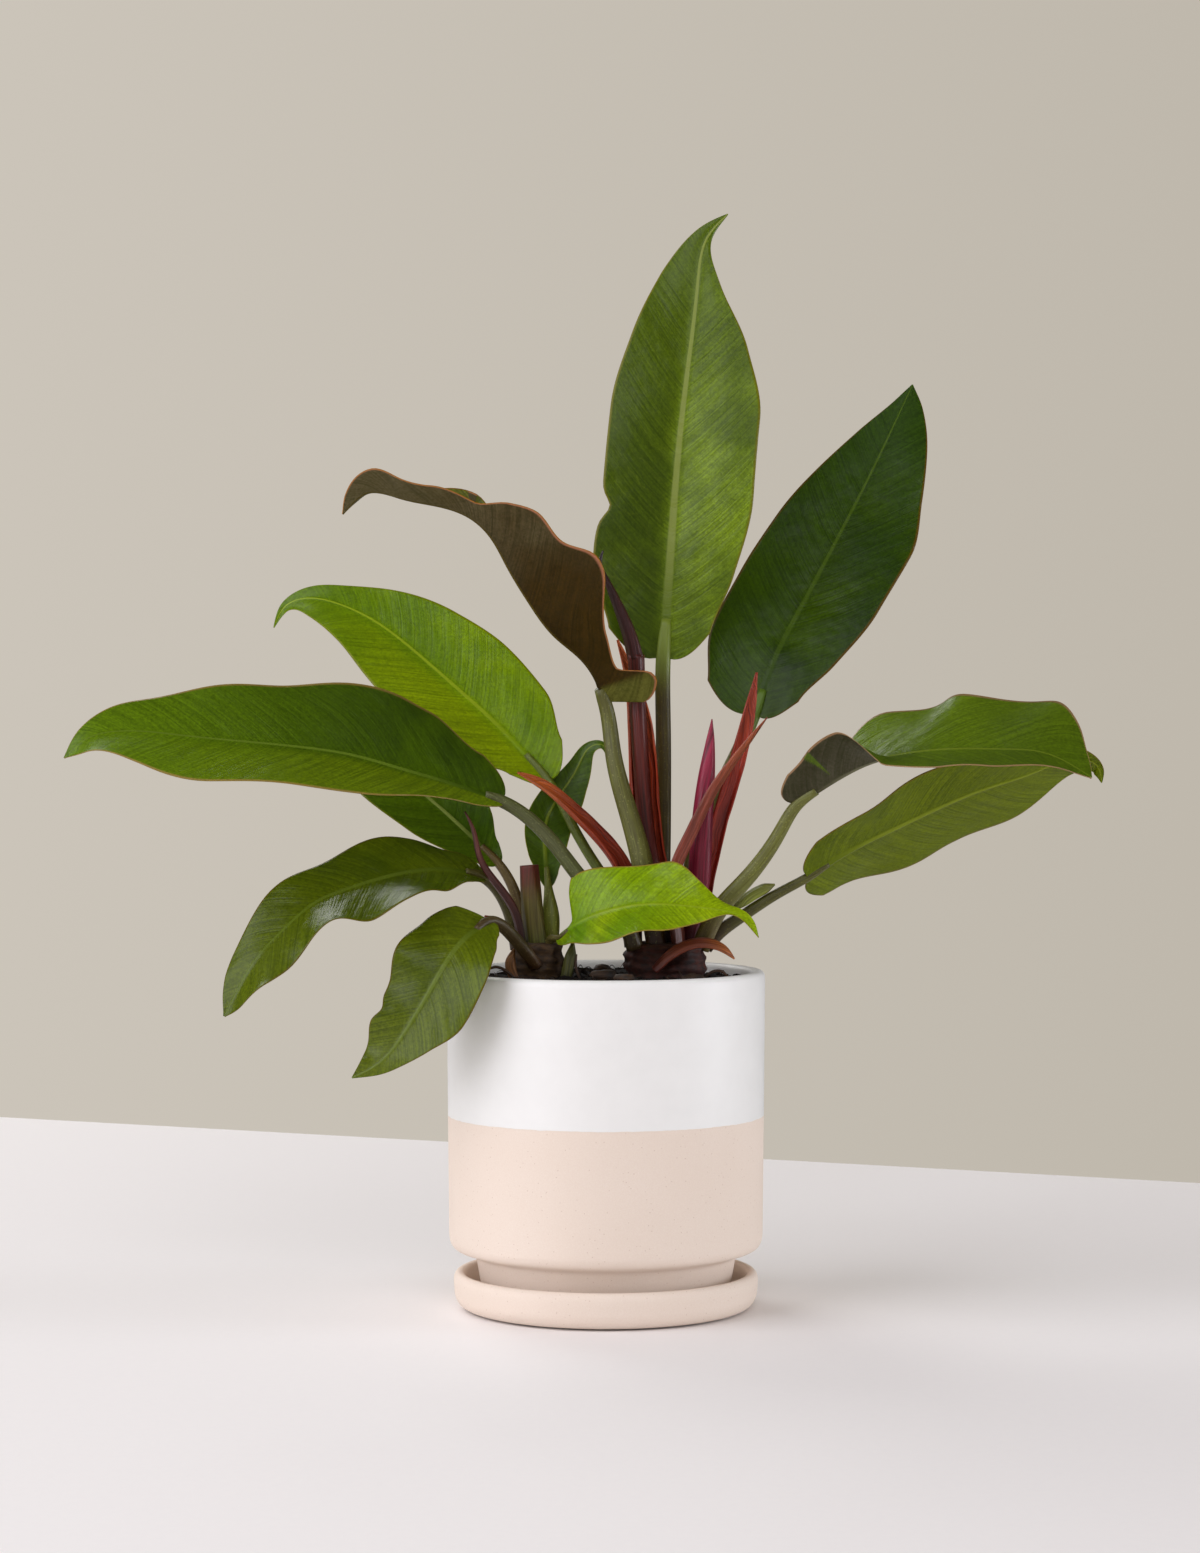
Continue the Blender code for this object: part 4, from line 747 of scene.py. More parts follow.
def leaf_blade(name, blade, skins):
    """A closed thin blade: rows along the side veins, folded, curled and waved away from the midrib."""
    amounts = 0.5 - 0.5 * np.cos(np.linspace(0, math.pi, ROWS))
    amounts = 0.6 * amounts + 0.4 * np.linspace(0, 1, ROWS)
    middle = spline(blade["midrib"], amounts)
    ahead = unit(spline(blade["midrib"], amounts + 0.004) - spline(blade["midrib"], amounts - 0.004))
    run = np.concatenate(([0], np.cumsum(np.linalg.norm(np.diff(middle, axis=0), axis=1))))
    looks = np.asarray(blade["face"], float)
    where = np.linspace(0, 1, len(looks))
    up = np.stack([np.interp(amounts, where, looks[:, i]) for i in range(3)], -1)
    up = unit(up - ahead * np.sum(up * ahead, axis=1, keepdims=True))
    right = np.cross(ahead, up)
    lean = np.interp(amounts, blade.get("lean_at", np.linspace(0, 1, len(blade["lean"]))), blade["lean"])
    seed = sum(map(ord, name)) * 0.37
    upper, lower, maps = [], [], []
    for row, amount in enumerate(amounts):
        top_line, under_line, map_line = [], [], []
        widths = {side: side_width(blade, side, amount) for side in ("left", "right")}
        folds = {side: math.radians(np.interp(amount, np.linspace(0, 1, len(blade["fold_" + side])),
                                              blade["fold_" + side])) for side in widths}
        for across in COLUMNS:
            side = "right" if across > 0 else "left"
            share = abs(across)
            width, fold = widths[side], folds[side]
            reach = share * width
            soft = math.hypot(reach, FOLD_SOFTNESS) - FOLD_SOFTNESS
            lift = math.sin(fold) * soft
            lift -= blade.get("curl_" + side, 0.0) * share ** 2.5 * width / CURL_WIDTH
            for wave_side, size, count, phase in blade.get("waves", ()):
                if wave_side == side:
                    swing = math.sin(2 * math.pi * (count * amount + phase))
                    lift += size * swing * share ** 2 * min(1, amount * 8, (1 - amount) * 6)
            way = Vector((amount * 5 + seed, across * 1.3, seed))
            lift += UNEVENNESS * noise.noise(way) * share
            out = math.copysign(math.cos(fold), across) * right[row] * reach if across else 0 * right[row]
            point = middle[row] + out + lift * up[row] + reach * lean[row] * ahead[row]
            bulge = math.exp(-(reach / (0.8 * blade["rib"] * (1 - 0.8 * amount) + 0.3)) ** 2) * (1 - 0.8 * amount)
            top_line.append(point + up[row] * (THICK / 2 + RIB_RISE * bulge))
            under_line.append(point - up[row] * (THICK / 2 + RIB_KEEL * bulge * blade["rib"] / 2.5))
            map_line.append((run[row] * MM, math.copysign(reach, across) * MM, amount, across))
        upper.append(top_line)
        lower.append(under_line)
        maps.append(map_line)
    count = len(COLUMNS)
    points = [p for line in upper for p in line] + [p for line in lower for p in line]
    flat = [m for line in maps for m in line] * 2
    back = ROWS * count
    faces, sides = [], []
    for row in range(ROWS - 1):
        for k in range(count - 1):
            a, b = row * count + k, (row + 1) * count + k
            faces.append((a, a + 1, b + 1, b))
            sides.append(0)
            faces.append((back + a, back + b, back + b + 1, back + a + 1))
            sides.append(1)
        for k in (0, count - 1):
            a, b = row * count + k, (row + 1) * count + k
            faces.append((a, b, back + b, back + a) if k == 0 else (b, a, back + a, back + b))
            sides.append(0)
    for row in (0, ROWS - 1):
        for k in range(count - 1):
            a = row * count + k
            faces.append((a + 1, a, back + a, back + a + 1) if row == 0 else (a, a + 1, back + a + 1, back + a))
            sides.append(0)
    piece = add_mesh("blade_" + name, points, faces, skins)
    length_map = piece.data.uv_layers.new(name="length_map")
    share_map = piece.data.uv_layers.new(name="share_map")
    for face, side in zip(piece.data.polygons, sides):
        face.material_index = side
        for corner in face.loop_indices:
            spot = flat[piece.data.loops[corner].vertex_index]
            length_map.data[corner].uv = spot[:2]
            share_map.data[corner].uv = spot[2:]
    face_outward(piece)
    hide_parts("leaf_" + name)
    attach(piece, "root")


# Each blade: the midrib's route, where the upper face looks along it, half widths each side, folds in
# degrees, how far the side veins lean forward, the rib's width, the veins' gap, curl, waves (side, mm,
# count, phase), nicks (side, place, span, mm) and how bluntly it starts. Then come the colours of its
# skins, the upper one's roughness as gloss, and as light how much light comes through.
# In each upper colour list the third colour, the left half's, is painted light on some blades and painted shade on
# others.
BLADES = {
    "top": dict(
        midrib=[(30, 16, 337), (33, 21, 378), (36, 27, 420), (40, 33, 463), (45, 40, 503), (49, 46, 538),
                (54, 50, 561), (65, 53, 574)],
        face=[(0, -1, -0.1), (0, -1, 0), (0, -1, 0.1)],
        right=(25, 36, 44, 44, 32, 13, 3), left=(31, 41, 40, 40, 33, 21, 7),
        fold_right=(20, 22, 12), fold_left=(16, 18, 8), lean=(-0.3, 0.55), rib=2.7, gap=11,
        curl_right=3.0, curl_left=2.0, waves=[("left", 1.6, 3.2, 0.1), ("right", 1.2, 2.5, 0.4)],
        nicks=[("left", 0.315, 0.022, 5.0), ("left", 0.24, 0.05, -1.5)],
        upper=("86a018", "5c7408", "3e5004", "7f8c24", "8a9640", "7c7418", "8aa009"), gloss=0.32, tip="62780c"),
    "upper_right": dict(
        midrib=[(78, 25, 307), (89, 33, 336), (106, 48, 368), (124, 63, 401), (139, 76, 429), (155, 89, 461),
                (168, 100, 488)],
        face=[(-0.25, -0.9, 0.3), (-0.25, -0.9, 0.2), (-0.2, -0.9, 0.1)],
        right=(22, 33, 42, 43, 34, 23, 11), left=(30, 39, 40, 36, 28, 17, 6),
        fold_right=(14, 12, 6), fold_left=(12, 10, 5), lean=(-0.3, 0.55), rib=1.6, gap=11,
        curl_right=3.0, curl_left=2.5, waves=[("right", 1.8, 2.6, 0.3), ("left", 1.2, 2.2, 0.0)],
        upper=("425c00", "2c4400", "466400", "4a640c", "4c6412", "6a480c", "6f8f06"), gloss=0.34, tip="34500a"),
    "right": dict(
        midrib=[(99, -12, 261), (117, -20, 273), (134, -28, 282), (154, -39, 287), (174, -47, 289),
                (198, -57, 289), (219, -67, 287), (241, -74, 275)],
        face=[(0, -0.36, 0.93), (0, -0.36, 0.93), (0, -0.36, 0.93)],
        stations_left=(0.05, 0.17, 0.27, 0.4, 0.5, 0.6, 0.7, 0.8, 0.92),
        right=(20, 26, 34, 36, 34, 22, 9), left=(9, 20, 48, 52, 48, 51, 45, 33, 13),
        fold_right=(105, 98, 60, 12, 7, 7, 7, 7, 7), fold_left=(15, 15, 12), lean=(-0.6, 0.0, 0.15, 0.3, 0.4, 0.5),
        rib=2.0, gap=12, blunt=0.3, curl_left=1.0, waves=[("left", 2.6, 4.0, 0.35), ("right", 1.0, 3.0, 0.5)],
        under=("5a5444", "48422f", "68644a", "7c7860", "b08868"),
        upper=("6c8610", "5a720c", "6e8810", "74881c", "74861e", "a8805c", "8aa804"), gloss=0.34, tip="5a720a"),
    "right_low": dict(
        midrib=[(105, 10, 222), (128, 17, 236), (149, 24, 246), (171, 30, 256), (201, 38, 268), (231, 45, 278),
                (250, 48, 284), (262, 48, 280), (264, 47, 271)],
        face=[(0, 0.6, 0.8), (0, 0.6, 0.8), (0, 0.5, 0.86)],
        right=(20, 27, 30, 29, 24, 14, 5), left=(26, 36, 42, 44, 40, 26, 8),
        fold_right=(8, 8, 5), fold_left=(4, 2, 0), lean=(-0.3, 0.5), rib=2.0, gap=13, blunt=0.34,
        curl_right=1.0, waves=[("right", 2.2, 2.6, 0.15), ("left", 1.5, 3.3, 0.6)],
        under=("748208", "5a6806", "84901c", "808c20", "7a6a20"),
        upper=("5e7408", "4c6206", "64780a", "70801a", "6e7c14", "7a5c10", "88a404"), gloss=0.34),
    "arching_left": dict(
        midrib=[(-1, -8, 314), (-5, -14, 325), (-13, -20, 336), (-26, -27, 347), (-39, -34, 364), (-50, -41, 382),
                (-58, -45, 396), (-69, -50, 406), (-83, -54, 411), (-103, -57, 415), (-119, -58, 418),
                (-132, -58, 407)],
        face=[(0.7, 0.1, 0.7), (0.6, 0.1, 0.75), (0.2, 0.3, 0.9), (0.2, 0.3, 0.9)],
        stations_left=(0.03, 0.075, 0.15, 0.24, 0.34, 0.44, 0.52, 0.58, 0.64, 0.74, 0.86, 0.94),
        right=(9, 8, 7, 9, 15, 9, 4), left=(31, 14, 24, 42, 47, 36, 32, 21, 9, 16, 17, 8),
        fold_right=(10, 20, 30, 40, 60, 90, 60, 20, -5), fold_left=(60, 52, 50, 48, 40, 30, 20, 20, 10),
        lean=(-0.3, 0.1, 0.1, 0.1, 0.2, 0.3, 0.5), lean_at=(0, 0.04, 0.07, 0.16, 0.4, 0.7, 1), rib=1.6, gap=11,
        blunt=0.12, waves=[("left", 1.8, 3.2, 0.25)],
        upper=("767a22", "686c1c", "6f7322", "8e9a1a", "84861f", "b0701b", "8f9a0f"), gloss=0.36,
        under=("46300a", "2c1c04", "4a3a14", "5a4a1c", "b87858"), lobe="6e6c2c", under_tip="74684a"),
    "bright_left": dict(
        midrib=[(-30, 25, 272), (-56, 38, 300), (-78, 48, 320), (-100, 60, 339), (-122, 70, 356), (-144, 80, 367),
                (-167, 88, 370), (-175, 91, 366), (-181, 92, 355)],
        face=[(0.1, -0.8, 0.55), (0.1, -0.8, 0.55), (0.1, -0.8, 0.5)],
        right=(20, 32, 36, 31, 22, 10, 3), left=(16, 32, 38, 34, 26, 14, 4),
        fold_right=(16, 14, 6), fold_left=(14, 14, 6), lean=(-0.2, 0.5), rib=1.4, gap=11,
        curl_left=2.0, waves=[("left", 1.6, 3.0, 0.3), ("right", 1.2, 2.5, 0.0)],
        upper=("94b408", "769a04", "a4b804", "a0b010", "9aae20", "8a8a0d", "b4cc00"), gloss=0.28, tip="6a8c06",
        light=0.34),
    "long_left": dict(
        midrib=[(-53, -15, 262), (-70, -20, 268), (-85, -25, 273), (-105, -32, 279), (-125, -39, 285),
                (-154, -50, 290), (-183, -60, 293), (-212, -70, 296), (-241, -79, 298), (-257, -84, 294),
                (-267, -87, 285)],
        face=[(0, -0.66, 0.75), (0, -0.66, 0.75), (0, -0.66, 0.75)],
        right=(25, 43, 46, 40, 32, 21, 8), left=(12, 24, 38, 43, 42, 28, 12),
        fold_right=(19, 17, 10), fold_left=(19, 17, 10), lean=(-0.25, 0.55), rib=1.5, gap=11,
        curl_right=2.0, curl_left=2.0, waves=[("right", 1.8, 3.4, 0.2), ("left", 1.5, 3.0, 0.6)],
        upper=("4a6404", "384f04", "7c9208", "5c7818", "667c20", "a08040", "90b004"), gloss=0.33, tip="709008"),
    "back_left": dict(
        midrib=[(-56, 14, 229), (-74, 22, 246), (-90, 30, 260), (-109, 39, 275), (-128, 48, 290), (-145, 56, 303)],
        face=[(0.1, -0.8, 0.55), (0.1, -0.8, 0.55), (0.1, -0.8, 0.55)],
        right=(8, 17, 25, 28, 24, 17, 7), left=(11, 18, 25, 27, 25, 17, 7),
        fold_right=(12, 12, 8), fold_left=(12, 12, 8), lean=(-0.2, 0.5), rib=1.4, gap=11,
        waves=[("left", 1.0, 2.5, 0.1)],
        upper=("648410", "4c6c0c", "6a8a10", "7a9030", "98a850", "7f8013", "84a00e"), gloss=0.28),
    "drooping_left": dict(
        midrib=[(-63, -14, 223), (-80, -22, 227), (-95, -30, 227), (-112, -40, 224), (-132, -50, 218),
                (-146, -59, 212), (-160, -67, 200), (-173, -74, 186), (-182, -78, 171), (-189, -80, 157)],
        face=[(-0.1, -0.6, 0.8), (-0.2, -0.7, 0.68), (-0.5, -0.7, 0.5)],
        right=(15, 22, 24, 21, 19, 15, 7), left=(14, 24, 34, 34, 24, 21, 10),
        fold_right=(15, 15, 8), fold_left=(15, 15, 8), lean=(-0.2, 0.5), rib=1.8, gap=11,
        waves=[("left", 3.4, 3.6, 0.1), ("right", 2.4, 3.0, 0.4)], nicks=[("left", 0.56, 0.05, 4.0)],
        upper=("66740e", "4a5a06", "586808", "5c7018", "60701c", "6a5a0f", "7d9a04"), gloss=0.26),
    "hanging_front": dict(
        midrib=[(-59, -42, 202), (-72, -58, 193), (-81, -66, 181), (-89, -69, 167), (-100, -69, 149),
                (-114, -67, 132), (-127, -65, 125)],
        face=[(-0.1, -0.7, 0.7), (-0.2, -0.95, 0.25), (-0.25, -0.9, 0.0)],
        right=(17, 24, 25, 21, 18, 12, 5), left=(12, 20, 26, 25, 17, 8, 3),
        fold_right=(10, 8, 5), fold_left=(10, 8, 5), lean=(-0.2, 0.5), rib=1.7, gap=11,
        waves=[("right", 3.0, 3.4, 0.0), ("left", 1.6, 2.6, 0.5)], nicks=[("right", 0.62, 0.04, 3.0)],
        upper=("6e7c12", "546408", "6c7c0a", "667620", "6c7c28", "6e5c0e", "80a004"), gloss=0.28),
    "small_back": dict(
        midrib=[(-30, 6, 217), (-32, 18, 236), (-31, 28, 252), (-22, 34, 268), (-14, 36, 281), (-8, 35, 290),
                (-2, 33, 291), (1, 32, 284)],
        face=[(0, -0.95, 0.2), (0, -0.95, 0.2), (0, -0.8, 0.5)],
        right=(6, 11, 14, 14, 10, 5, 2), left=(5, 9, 11, 10, 7, 4, 2),
        fold_right=(8, 6, 5), fold_left=(15, 15, 10), lean=(-0.2, 0.5), rib=1.2, gap=11,
        upper=("4f6c09", "405907", "557209", "6c8012", "7a8a20", "a8a00e", "8aa009"), gloss=0.34),
    "small_front": dict(
        midrib=[(-25, -20, 192), (-13, -28, 201), (2, -34, 207), (17, -38, 210), (37, -42, 210), (56, -44, 208),
                (65, -45, 206), (73, -45, 200), (77, -45, 194)],
        face=[(0.1, -0.75, 0.65), (0, -0.75, 0.65), (0.1, -0.75, 0.65)],
        stations_left=(0.05, 0.1, 0.14, 0.17, 0.3, 0.5, 0.65, 0.8, 0.92),
        right=(11, 18, 23, 21, 11, 4, 2), left=(2, 4, 20, 26, 25, 25, 15, 6, 3),
        fold_right=(12, 10, 5), fold_left=(10, 10, 5), lean=(-0.2, 0.5), rib=1.0, gap=11,
        waves=[("right", 2.6, 2.4, 0.2), ("left", 2.4, 2.8, 0.6)],
        upper=("b0cc10", "76a404", "98c004", "a8c018", "98b020", "b08a40", "b4d000"), gloss=0.24, light=0.3),
}
UNDER = ("6c7416", "5c6212", "7c841c", "989825", "8a6a17")
for name, blade in BLADES.items():
    light = blade.get("light", 0.2)
    green, deep, vein, rib, margin = blade.get("under", UNDER)
    under = (green, deep, green, vein, rib, margin, blade["upper"][-1])
    leaf_blade(name, blade, [
        blade_skin("satin_blade_" + name, blade["upper"], blade["rib"], blade["gap"], blade["gloss"], light,
                   blade.get("tip")),
        blade_skin("dull_underside_" + name, under, blade["rib"] * 1.15, blade["gap"], UNDER_ROUGHNESS, light,
                   blade.get("under_tip"), blade.get("lobe"))])

# ---------------------------------------------------------------- newest leaf and closed spear
# The youngest leaf is still rolled to a dark red spike on a red stalk; beside it a crimson sheath has
# not opened yet. Both are smooth and waxy, with pleats along them.
def pleated_skin(name, foot, middle, tip, groove, gloss=0.36):
    """Waxy skin in lengthwise pleats about 1 mm apart, darker in the grooves, changing up its length."""
    finish, tree, shader = new_finish(name)
    length = node(tree, "ShaderNodeUVMap", {"uv_map": "length_map"}).outputs[0]
    share = node(tree, "ShaderNodeUVMap", {"uv_map": "share_map"}).outputs[0]
    where = node(tree, "ShaderNodeTexCoord").outputs["Object"]
    height = node(tree, "ShaderNodeSeparateXYZ", None, {0: share}).outputs[0]
    cloud = node(tree, "ShaderNodeTexNoise", None, {"Vector": where, "Scale": 90.0, "Detail": 3.0}).outputs[0]
    height = node(tree, "ShaderNodeMath", MULTIPLY_ADD, {0: cloud, 1: 0.25, 2: height}).outputs[0]
    lower = node(tree, "ShaderNodeMapRange", SMOOTH,
                 {"Value": height, "From Min": 0.12, "From Max": 0.5}).outputs[0]
    upper = node(tree, "ShaderNodeMapRange", SMOOTH,
                 {"Value": height, "From Min": 0.65, "From Max": 1.05}).outputs[0]
    colour = node(tree, "ShaderNodeMix", COLOUR_MIX, {0: lower, 6: paint(foot), 7: paint(middle)}).outputs[2]
    colour = node(tree, "ShaderNodeMix", COLOUR_MIX, {0: upper, 6: colour, 7: paint(tip)}).outputs[2]
    pleat_way = node(tree, "ShaderNodeMapping", None, {"Vector": length, "Scale": (22, 900, 1)}).outputs[0]
    pleat = node(tree, "ShaderNodeTexNoise", None, {"Vector": pleat_way, "Scale": 1.0, "Detail": 4.0}).outputs[0]
    mask = node(tree, "ShaderNodeMapRange", None,
                {"Value": pleat, "From Min": 0.32, "From Max": 0.62, "To Min": 0.85, "To Max": 0.0}).outputs[0]
    colour = node(tree, "ShaderNodeMix", COLOUR_MIX, {0: mask, 6: colour, 7: paint(groove)}).outputs[2]
    rough = node(tree, "ShaderNodeMapRange", None,
                 {"Value": pleat, "To Min": gloss + 0.12, "To Max": gloss - 0.08}).outputs[0]
    bump = node(tree, "ShaderNodeBump", None, {"Strength": 0.8, "Distance": 0.0006, "Height": pleat}).outputs[0]
    join(tree, shader, {"Base Color": colour, "Roughness": rough, "Normal": bump})
    shader.inputs["IOR"].default_value = 1.45
    return finish


# Each spike: the planned piece it stands for, its slot, its route and radii in millimetres, and its foot,
# middle, tip and groove colours.
SPIKES = {
    "rolled_leaf": ("leaf_furled", "furled_leaf_skin",
                    [(15.6, 2, 336), (12, 2, 349), (6, 2, 364), (0, 2, 377), (-3, 2, 386), (-1.5, 2, 392)],
                    (4.3, 3.7, 2.7, 1.6, 1.0, 0.4), ("4a1c18", "3d1a17", "2c1412", "1e0c0a")),
    "red_stalk": ("petiole_furled", "red_petiole_skin",
                  [(31, 0, 186), (28, 1, 212), (23.5, 2, 232), (19, 2, 270), (17, 2, 300), (15.5, 2, 338)],
                  (4.4, 4.2, 4.2, 4.2, 4.2, 4.3), ("3a1410", "6b241a", "5c1e18", "2a0d0a")),
    "crimson_spear": ("spear_crimson", "crimson_spear_skin",
                      [(41, 1, 186), (46.5, 2, 205), (48.7, 2, 225), (50, 2, 250), (52, 2, 273), (54, 2, 292),
                       (55, 2, 304.6)],
                      (4.0, 4.4, 5.8, 5.4, 4.4, 2.4, 0.3), ("4c1418", "8e1f3a", "a82a4a", "4a0f1c")),
}
for name, (cad_node, slot, route, radii, colours) in SPIKES.items():
    spike = rolled_skin(name, swept_rings(route, radii, sides=40, rows=70, ridges=0.045),
                        pleated_skin("waxy_" + name, *colours))
    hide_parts(cad_node)
    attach(spike, "root")


# ---------------------------------------------------------------- open sheaths
# Each older leaf came out of a boat-shaped sheath that stays behind, rust red and drying: a grooved
# half tube that narrows to a point, with thin ragged edges.
SHEATH_WALL, SHEATH_FRILL = 1.1, 0.5      # millimetres: the wall, and how ragged its edges are
SHEATH_SPREAD = math.radians(118)         # how far the half tube reaches round to each side


def open_sheath(name, cad_node, route, radii, groove, finish):
    """A pleated half tube along a route, open toward the groove's direction, with ragged edges."""
    rows, arc = 64, 26
    amounts = np.linspace(0, 1, rows)
    middle = spline(route, amounts)
    ahead = unit(spline(route, amounts + 0.004) - spline(route, amounts - 0.004))
    size = eased(knots_of(route), radii, amounts)
    seed = sum(map(ord, name)) * 0.21
    rings = []
    for centre, along, radius, amount in zip(middle, ahead, size, amounts):
        opening = np.asarray(groove, float)
        opening = unit(opening - along * np.dot(opening, along))
        side = np.cross(along, opening)
        thin = min(SHEATH_WALL, 0.4 * radius)
        outer, inner_line = [], []
        for angle in np.linspace(-SHEATH_SPREAD, SHEATH_SPREAD, arc):
            lip = (abs(angle) / SHEATH_SPREAD) ** 6
            pleat = 0.035 * math.sin(angle * 7 + 2 * amount) + 0.02 * math.sin(angle * 17)
            ragged = SHEATH_FRILL * lip * noise.noise(Vector((amount * 14, angle, seed)))
            way = math.sin(angle) * side - 0.5 * math.cos(angle) * opening
            outer.append(centre + (radius * (1 + pleat) + ragged) * way)
            inner_line.append(centre + (radius * (1 + pleat) + ragged - thin * (1 - 0.5 * lip)) * way)
        rings.append(outer + inner_line[::-1])
    piece = rolled_skin(name, rings, finish)
    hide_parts(cad_node)
    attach(piece, "root")


open_sheath("sheath_bent_left", "sheath_left",
            [(15.5, -1, 186), (14, 0, 205), (10, 1, 225), (-2, 2, 243), (-16, 2, 257), (-33, 3, 271), (-46, 4, 277)],
            (4.2, 5.2, 6.4, 6.2, 5.4, 4.2, 1.0), (0.5, -0.6, 0.9),
            pleated_skin("rust_sheath_left", "5a1c12", "a03a1e", "c8682a", "48130c"))
open_sheath("sheath_wrapped", "sheath_centre",
            [(31, 4.5, 186), (28.2, 5.2, 212), (24, 5.8, 232), (20, 6, 270), (18, 7.2, 300), (12, 10, 329),
             (6, 10.5, 346)],
            (7.0, 7.2, 7.5, 7.5, 6.4, 2.8, 0.6), (0, -1, 0),
            pleated_skin("rust_sheath_centre", "501810", "b03c1c", "c4602c", "3c1008"))
open_sheath("sheath_upright_right", "sheath_right_tall",
            [(47.5, 11, 186), (51.5, 12.5, 215), (57, 12, 243), (68, 9.5, 281), (74, 9, 305), (78.5, 9, 329)],
            (3.8, 4.4, 4.6, 4.4, 3.5, 0.6), (0.3, -1, 0),
            pleated_skin("red_sheath_right", "641c14", "a8321e", "b04428", "4a100c"))
open_sheath("sheath_across", "sheath_crossing",
            [(38, -10, 186), (35, -12, 207), (35, -12.5, 226), (42, -12.5, 243), (53, -12, 265), (69, -11.5, 288),
             (83, -10.5, 305.5)],
            (5.2, 6.2, 7.0, 7.0, 6.2, 4.2, 0.8), (-0.6, 0.2, 0.8),
            pleated_skin("brown_sheath_across", "5a2414", "94402a", "a85430", "40160c"))
open_sheath("sheath_at_foot", "sheath_low_front",
            [(25, -24.6, 176), (36, -26, 186), (50, -27, 190), (60, -28, 187), (65.5, -28, 182)],
            (4.0, 5.2, 5.0, 3.4, 0.7), (0.1, 0.3, -1),
            pleated_skin("tan_sheath_foot", "5a2018", "96482c", "b8682c", "40180f", gloss=0.5))

# ---------------------------------------------------------------- small scales, stub and dried sheath
# Leftovers at the feet of the crowns: little boat-shaped scales, a cut stub and one sheath that dried
# to a dark twisted string.

# Each one: the planned piece it stands for, its slot, its route and radii in millimetres, and its foot,
# middle, tip and groove colours.
LEFTOVERS = {
    "axil_scale": ("sheath_axil_right", "green_scale_skin",
                   [(66, 4, 205.5), (74, 5.5, 211.5), (82, 7, 216), (88, 8, 218.5)], (1.2, 3.0, 2.8, 0.5),
                   ("6c7420", "8a9430", "7a7a2c", "4a4c18")),
    "dried_sheath": ("sheath_dried", "dry_sheath_skin",
                     [(-43, -18, 186), (-47, -18, 206), (-57, -19, 221), (-65, -19, 234), (-68, -18, 247),
                      (-72.5, -17, 257)], (2.3, 2.2, 2.0, 1.6, 1.1, 0.4), ("3c1a14", "52221a", "6c3426", "20100c")),
    "cut_stub": ("stub_side", "green_scale_skin",
                 [(-36, -5, 186), (-38.5, -5, 210), (-40, -5, 229)], (5.8, 5.4, 4.8),
                 ("626820", "6a6024", "6a241c", "34290f")),
    "red_scale": ("scale_red", "red_sheath_skin",
                  [(-50.2, -29.4, 195), (-55, -29.8, 201), (-62, -30.4, 204)], (1.0, 1.7, 0.5),
                  ("9c3a2c", "a84a38", "8a3024", "5a1c14")),
    "left_scale": ("scale_left", "dry_sheath_skin",
                   [(-46, -23, 170), (-49, -23.5, 179), (-47, -24, 187)], (2.2, 2.7, 0.6),
                   ("6a4422", "8a5a2c", "9a6a38", "4a2c16")),
    "right_scale": ("scale_right", "green_scale_skin",
                    [(-21, -22, 170), (-18.5, -20.5, 181), (-17, -19, 190)], (2.7, 3.0, 0.8),
                    ("3c3c18", "5a5a24", "6a6a2c", "26260f")),
}
for name, (cad_node, slot, route, radii, colours) in LEFTOVERS.items():
    leftover = rolled_skin(name, swept_rings(route, radii, sides=30, rows=40, ridges=0.07),
                           pleated_skin("dull_" + name, *colours, gloss=0.5))
    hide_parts(cad_node)
    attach(leftover, "root")

# ---------------------------------------------------------------- fine roots
# Hair roots that loop out of the mix, brown, springy and about 1.5 mm thick, thinner at the far end.
# They grew from the crowns; shorter dead ones lie loose on the mix around them.
ROOT_RADIUS, ROOT_END_RADIUS = 0.75, 0.35
ROOTS = {
    "hair_root_left": ("root_left", [(-46, -28, 171), (-51, -30, 176), (-57, -31, 178), (-61, -31, 176)]),
    "hair_root_middle": ("root_middle", [(-13, -23, 171), (-15.5, -22.5, 178), (-15, -22, 184)]),
    "hair_root_right": ("root_right", [(40, -27, 171), (44, -30, 174.5), (48, -33, 171.2)]),
    "hair_root_far": ("root_far_right", [(50, -23, 171), (54, -25, 175), (59, -26, 175.5), (63, -27, 172)]),
}
for name, (cad_node, route) in ROOTS.items():
    radii = [ROOT_RADIUS] * (len(route) - 1) + [ROOT_END_RADIUS]
    root = rolled_skin(name, swept_rings(route, radii, sides=12, rows=40, ridges=0.06),
                       pleated_skin("brown_" + name, "2c1c12", "4a3220", "5c4028", "1c110a", gloss=0.6))
    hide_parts(cad_node)
    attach(root, "root")

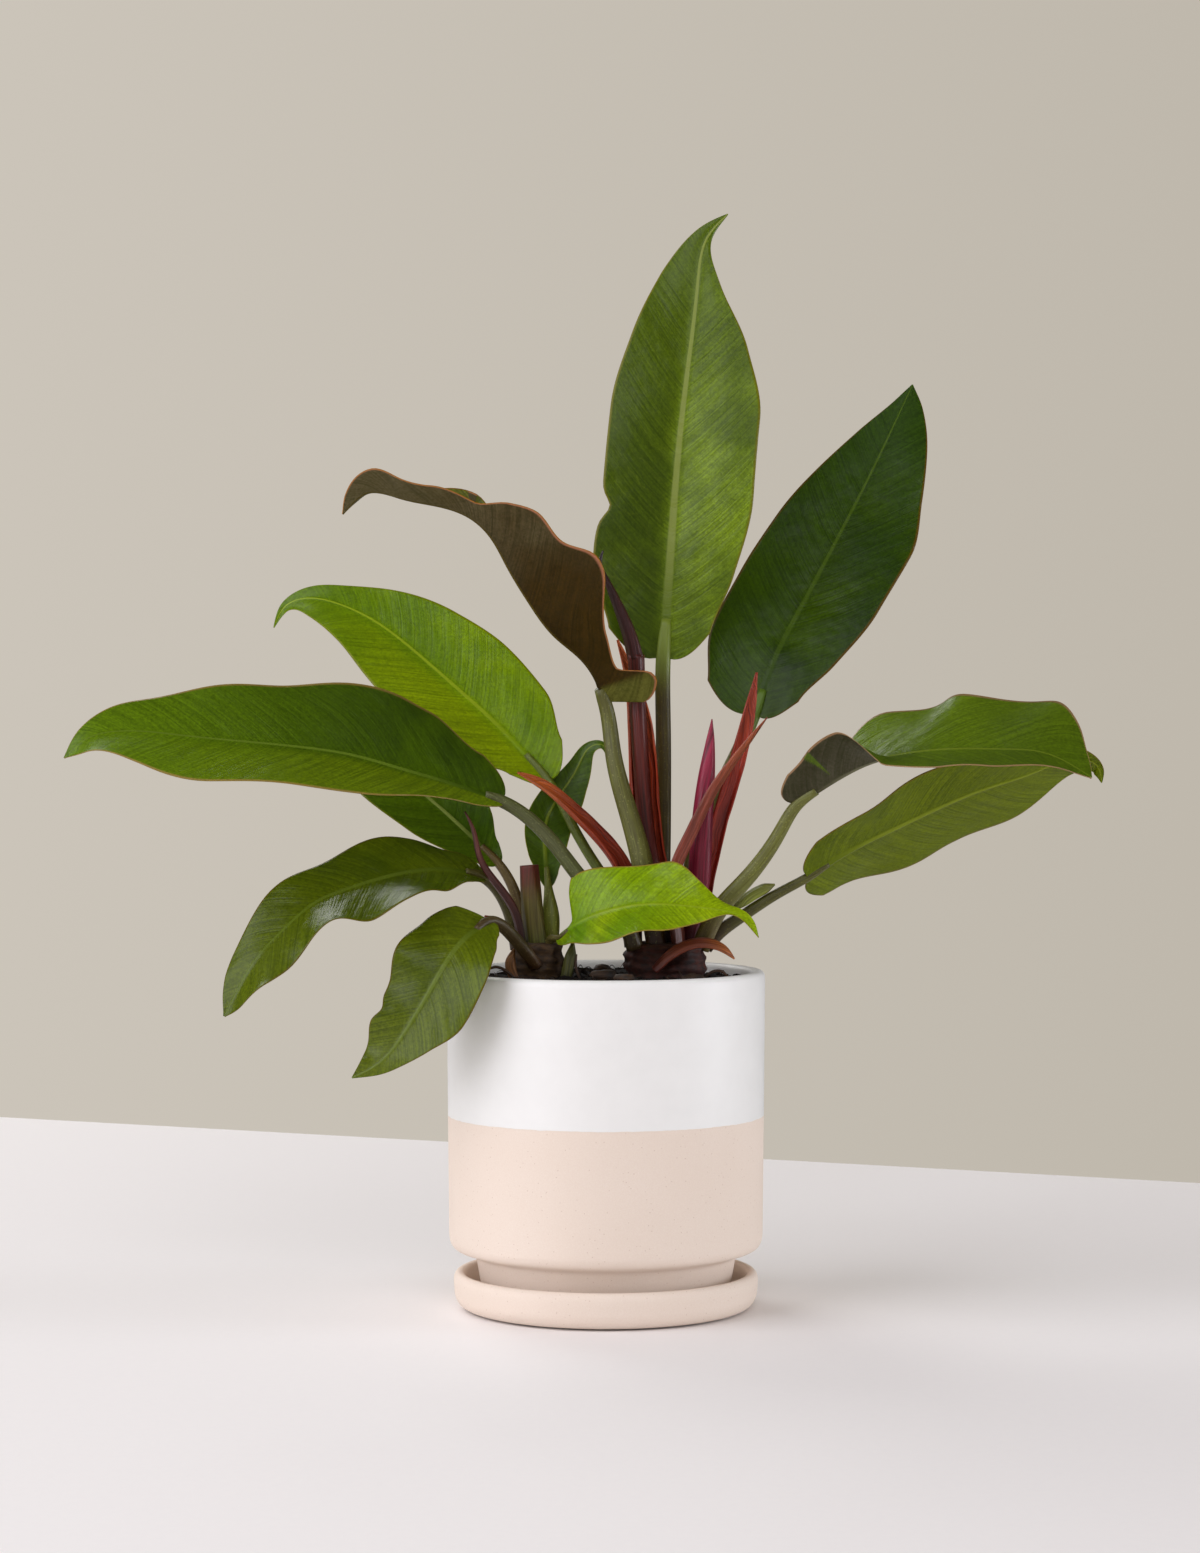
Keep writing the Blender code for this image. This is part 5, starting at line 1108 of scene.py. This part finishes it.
# Dead fibres, a millimetre thick at most, lie all over the mix among the crumbs. Each is a thin bent tube
# that rises a little in the middle and is held back from the pot's wall.
FIBRES, FIBRE_STEPS, FIBRE_SIDES = 110, 8, 5
FIBRE_SPREAD, FIBRE_LIMIT = 68, 72
spans = FIBRE_STEPS - 1
chance = np.random.default_rng(11)
points, faces = [], []
for _ in range(FIBRES):
    reach, angle = FIBRE_SPREAD * math.sqrt(chance.random()), 2 * math.pi * chance.random()
    x, y = reach * math.cos(angle), reach * math.sin(angle)
    heading, bend, length = 2 * math.pi * chance.random(), 1.6 * chance.normal(), 5 + 10 * chance.random()
    rise, thick = 4.5 * chance.random() ** 2, 0.25 + 0.3 * chance.random()
    start = len(points)
    for step in range(FIBRE_STEPS):
        share = step / spans
        if math.hypot(x, y) > FIBRE_LIMIT:
            x, y = FIBRE_LIMIT * x / math.hypot(x, y), FIBRE_LIMIT * y / math.hypot(x, y)
        height = soil_height(x, y) + 0.3 + rise * math.sin(math.pi * share)
        size = thick * (1 - 0.6 * share)
        for k in range(FIBRE_SIDES):
            turn = 2 * math.pi * k / FIBRE_SIDES
            aside, lifted = size * math.cos(turn), size * math.sin(turn)
            points.append((x - aside * math.sin(heading), y + aside * math.cos(heading), height + lifted))
        if step < spans:
            first = start + step * FIBRE_SIDES
            for k in range(FIBRE_SIDES):
                j = (k + 1) % FIBRE_SIDES
                faces.append((first + k, first + j, first + FIBRE_SIDES + j, first + FIBRE_SIDES + k))
        x, y = x + length / spans * math.cos(heading), y + length / spans * math.sin(heading)
        heading += bend / spans
    last = start + spans * FIBRE_SIDES
    faces += [tuple(range(start + FIBRE_SIDES - 1, start - 1, -1)), tuple(range(last, last + FIBRE_SIDES))]
fibres = add_mesh("dead_fibres", points, faces, [corky_bark("dead_fibre_skin", "1c120a", "4a3420")])
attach(fibres, "root")

# ---------------------------------------------------------------- bark chips
# Chips of rotting wood and old leaf bases, fibrous and dull brown, broken to flat lumps. They lie loose on
# the mix, half sunk in it.

# Each one: the planned piece it stands for, its place, its half sizes in millimetres, its turn in degrees
# and the seed of its lumps.
CHIPS = {
    "chip_front": ("bark_1", (-1, -28, 173.8), (8.5, 4, 3), 24, 11),
    "chip_rim": ("bark_2", (9, -41, 172.9), (6.5, 3.5, 2.2), -40, 12),
    "chip_back": ("bark_3", (-2, 24, 173.4), (7.5, 4.5, 2.6), 70, 13),
    "chip_right": ("bark_4", (44, -40, 172.9), (6, 3.5, 2.2), 10, 14),
}
for name, (cad_node, place, size, turn, seed) in CHIPS.items():
    points, faces = [], []
    lump(points, faces, (0, 0, 0), size, seed, sides=18)
    cosine, sine = math.cos(math.radians(turn)), math.sin(math.radians(turn))
    points = [(place[0] + x * cosine - y * sine, place[1] + x * sine + y * cosine,
               place[2] + z * (1 + 0.35 * noise.noise(Vector((x, y, seed)) * 0.6))) for x, y, z in points]
    chip = add_mesh(name, points, faces, [corky_bark("rotting_wood_" + name, "180f08", "4a3018")])
    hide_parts(cad_node)
    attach(chip, "root")
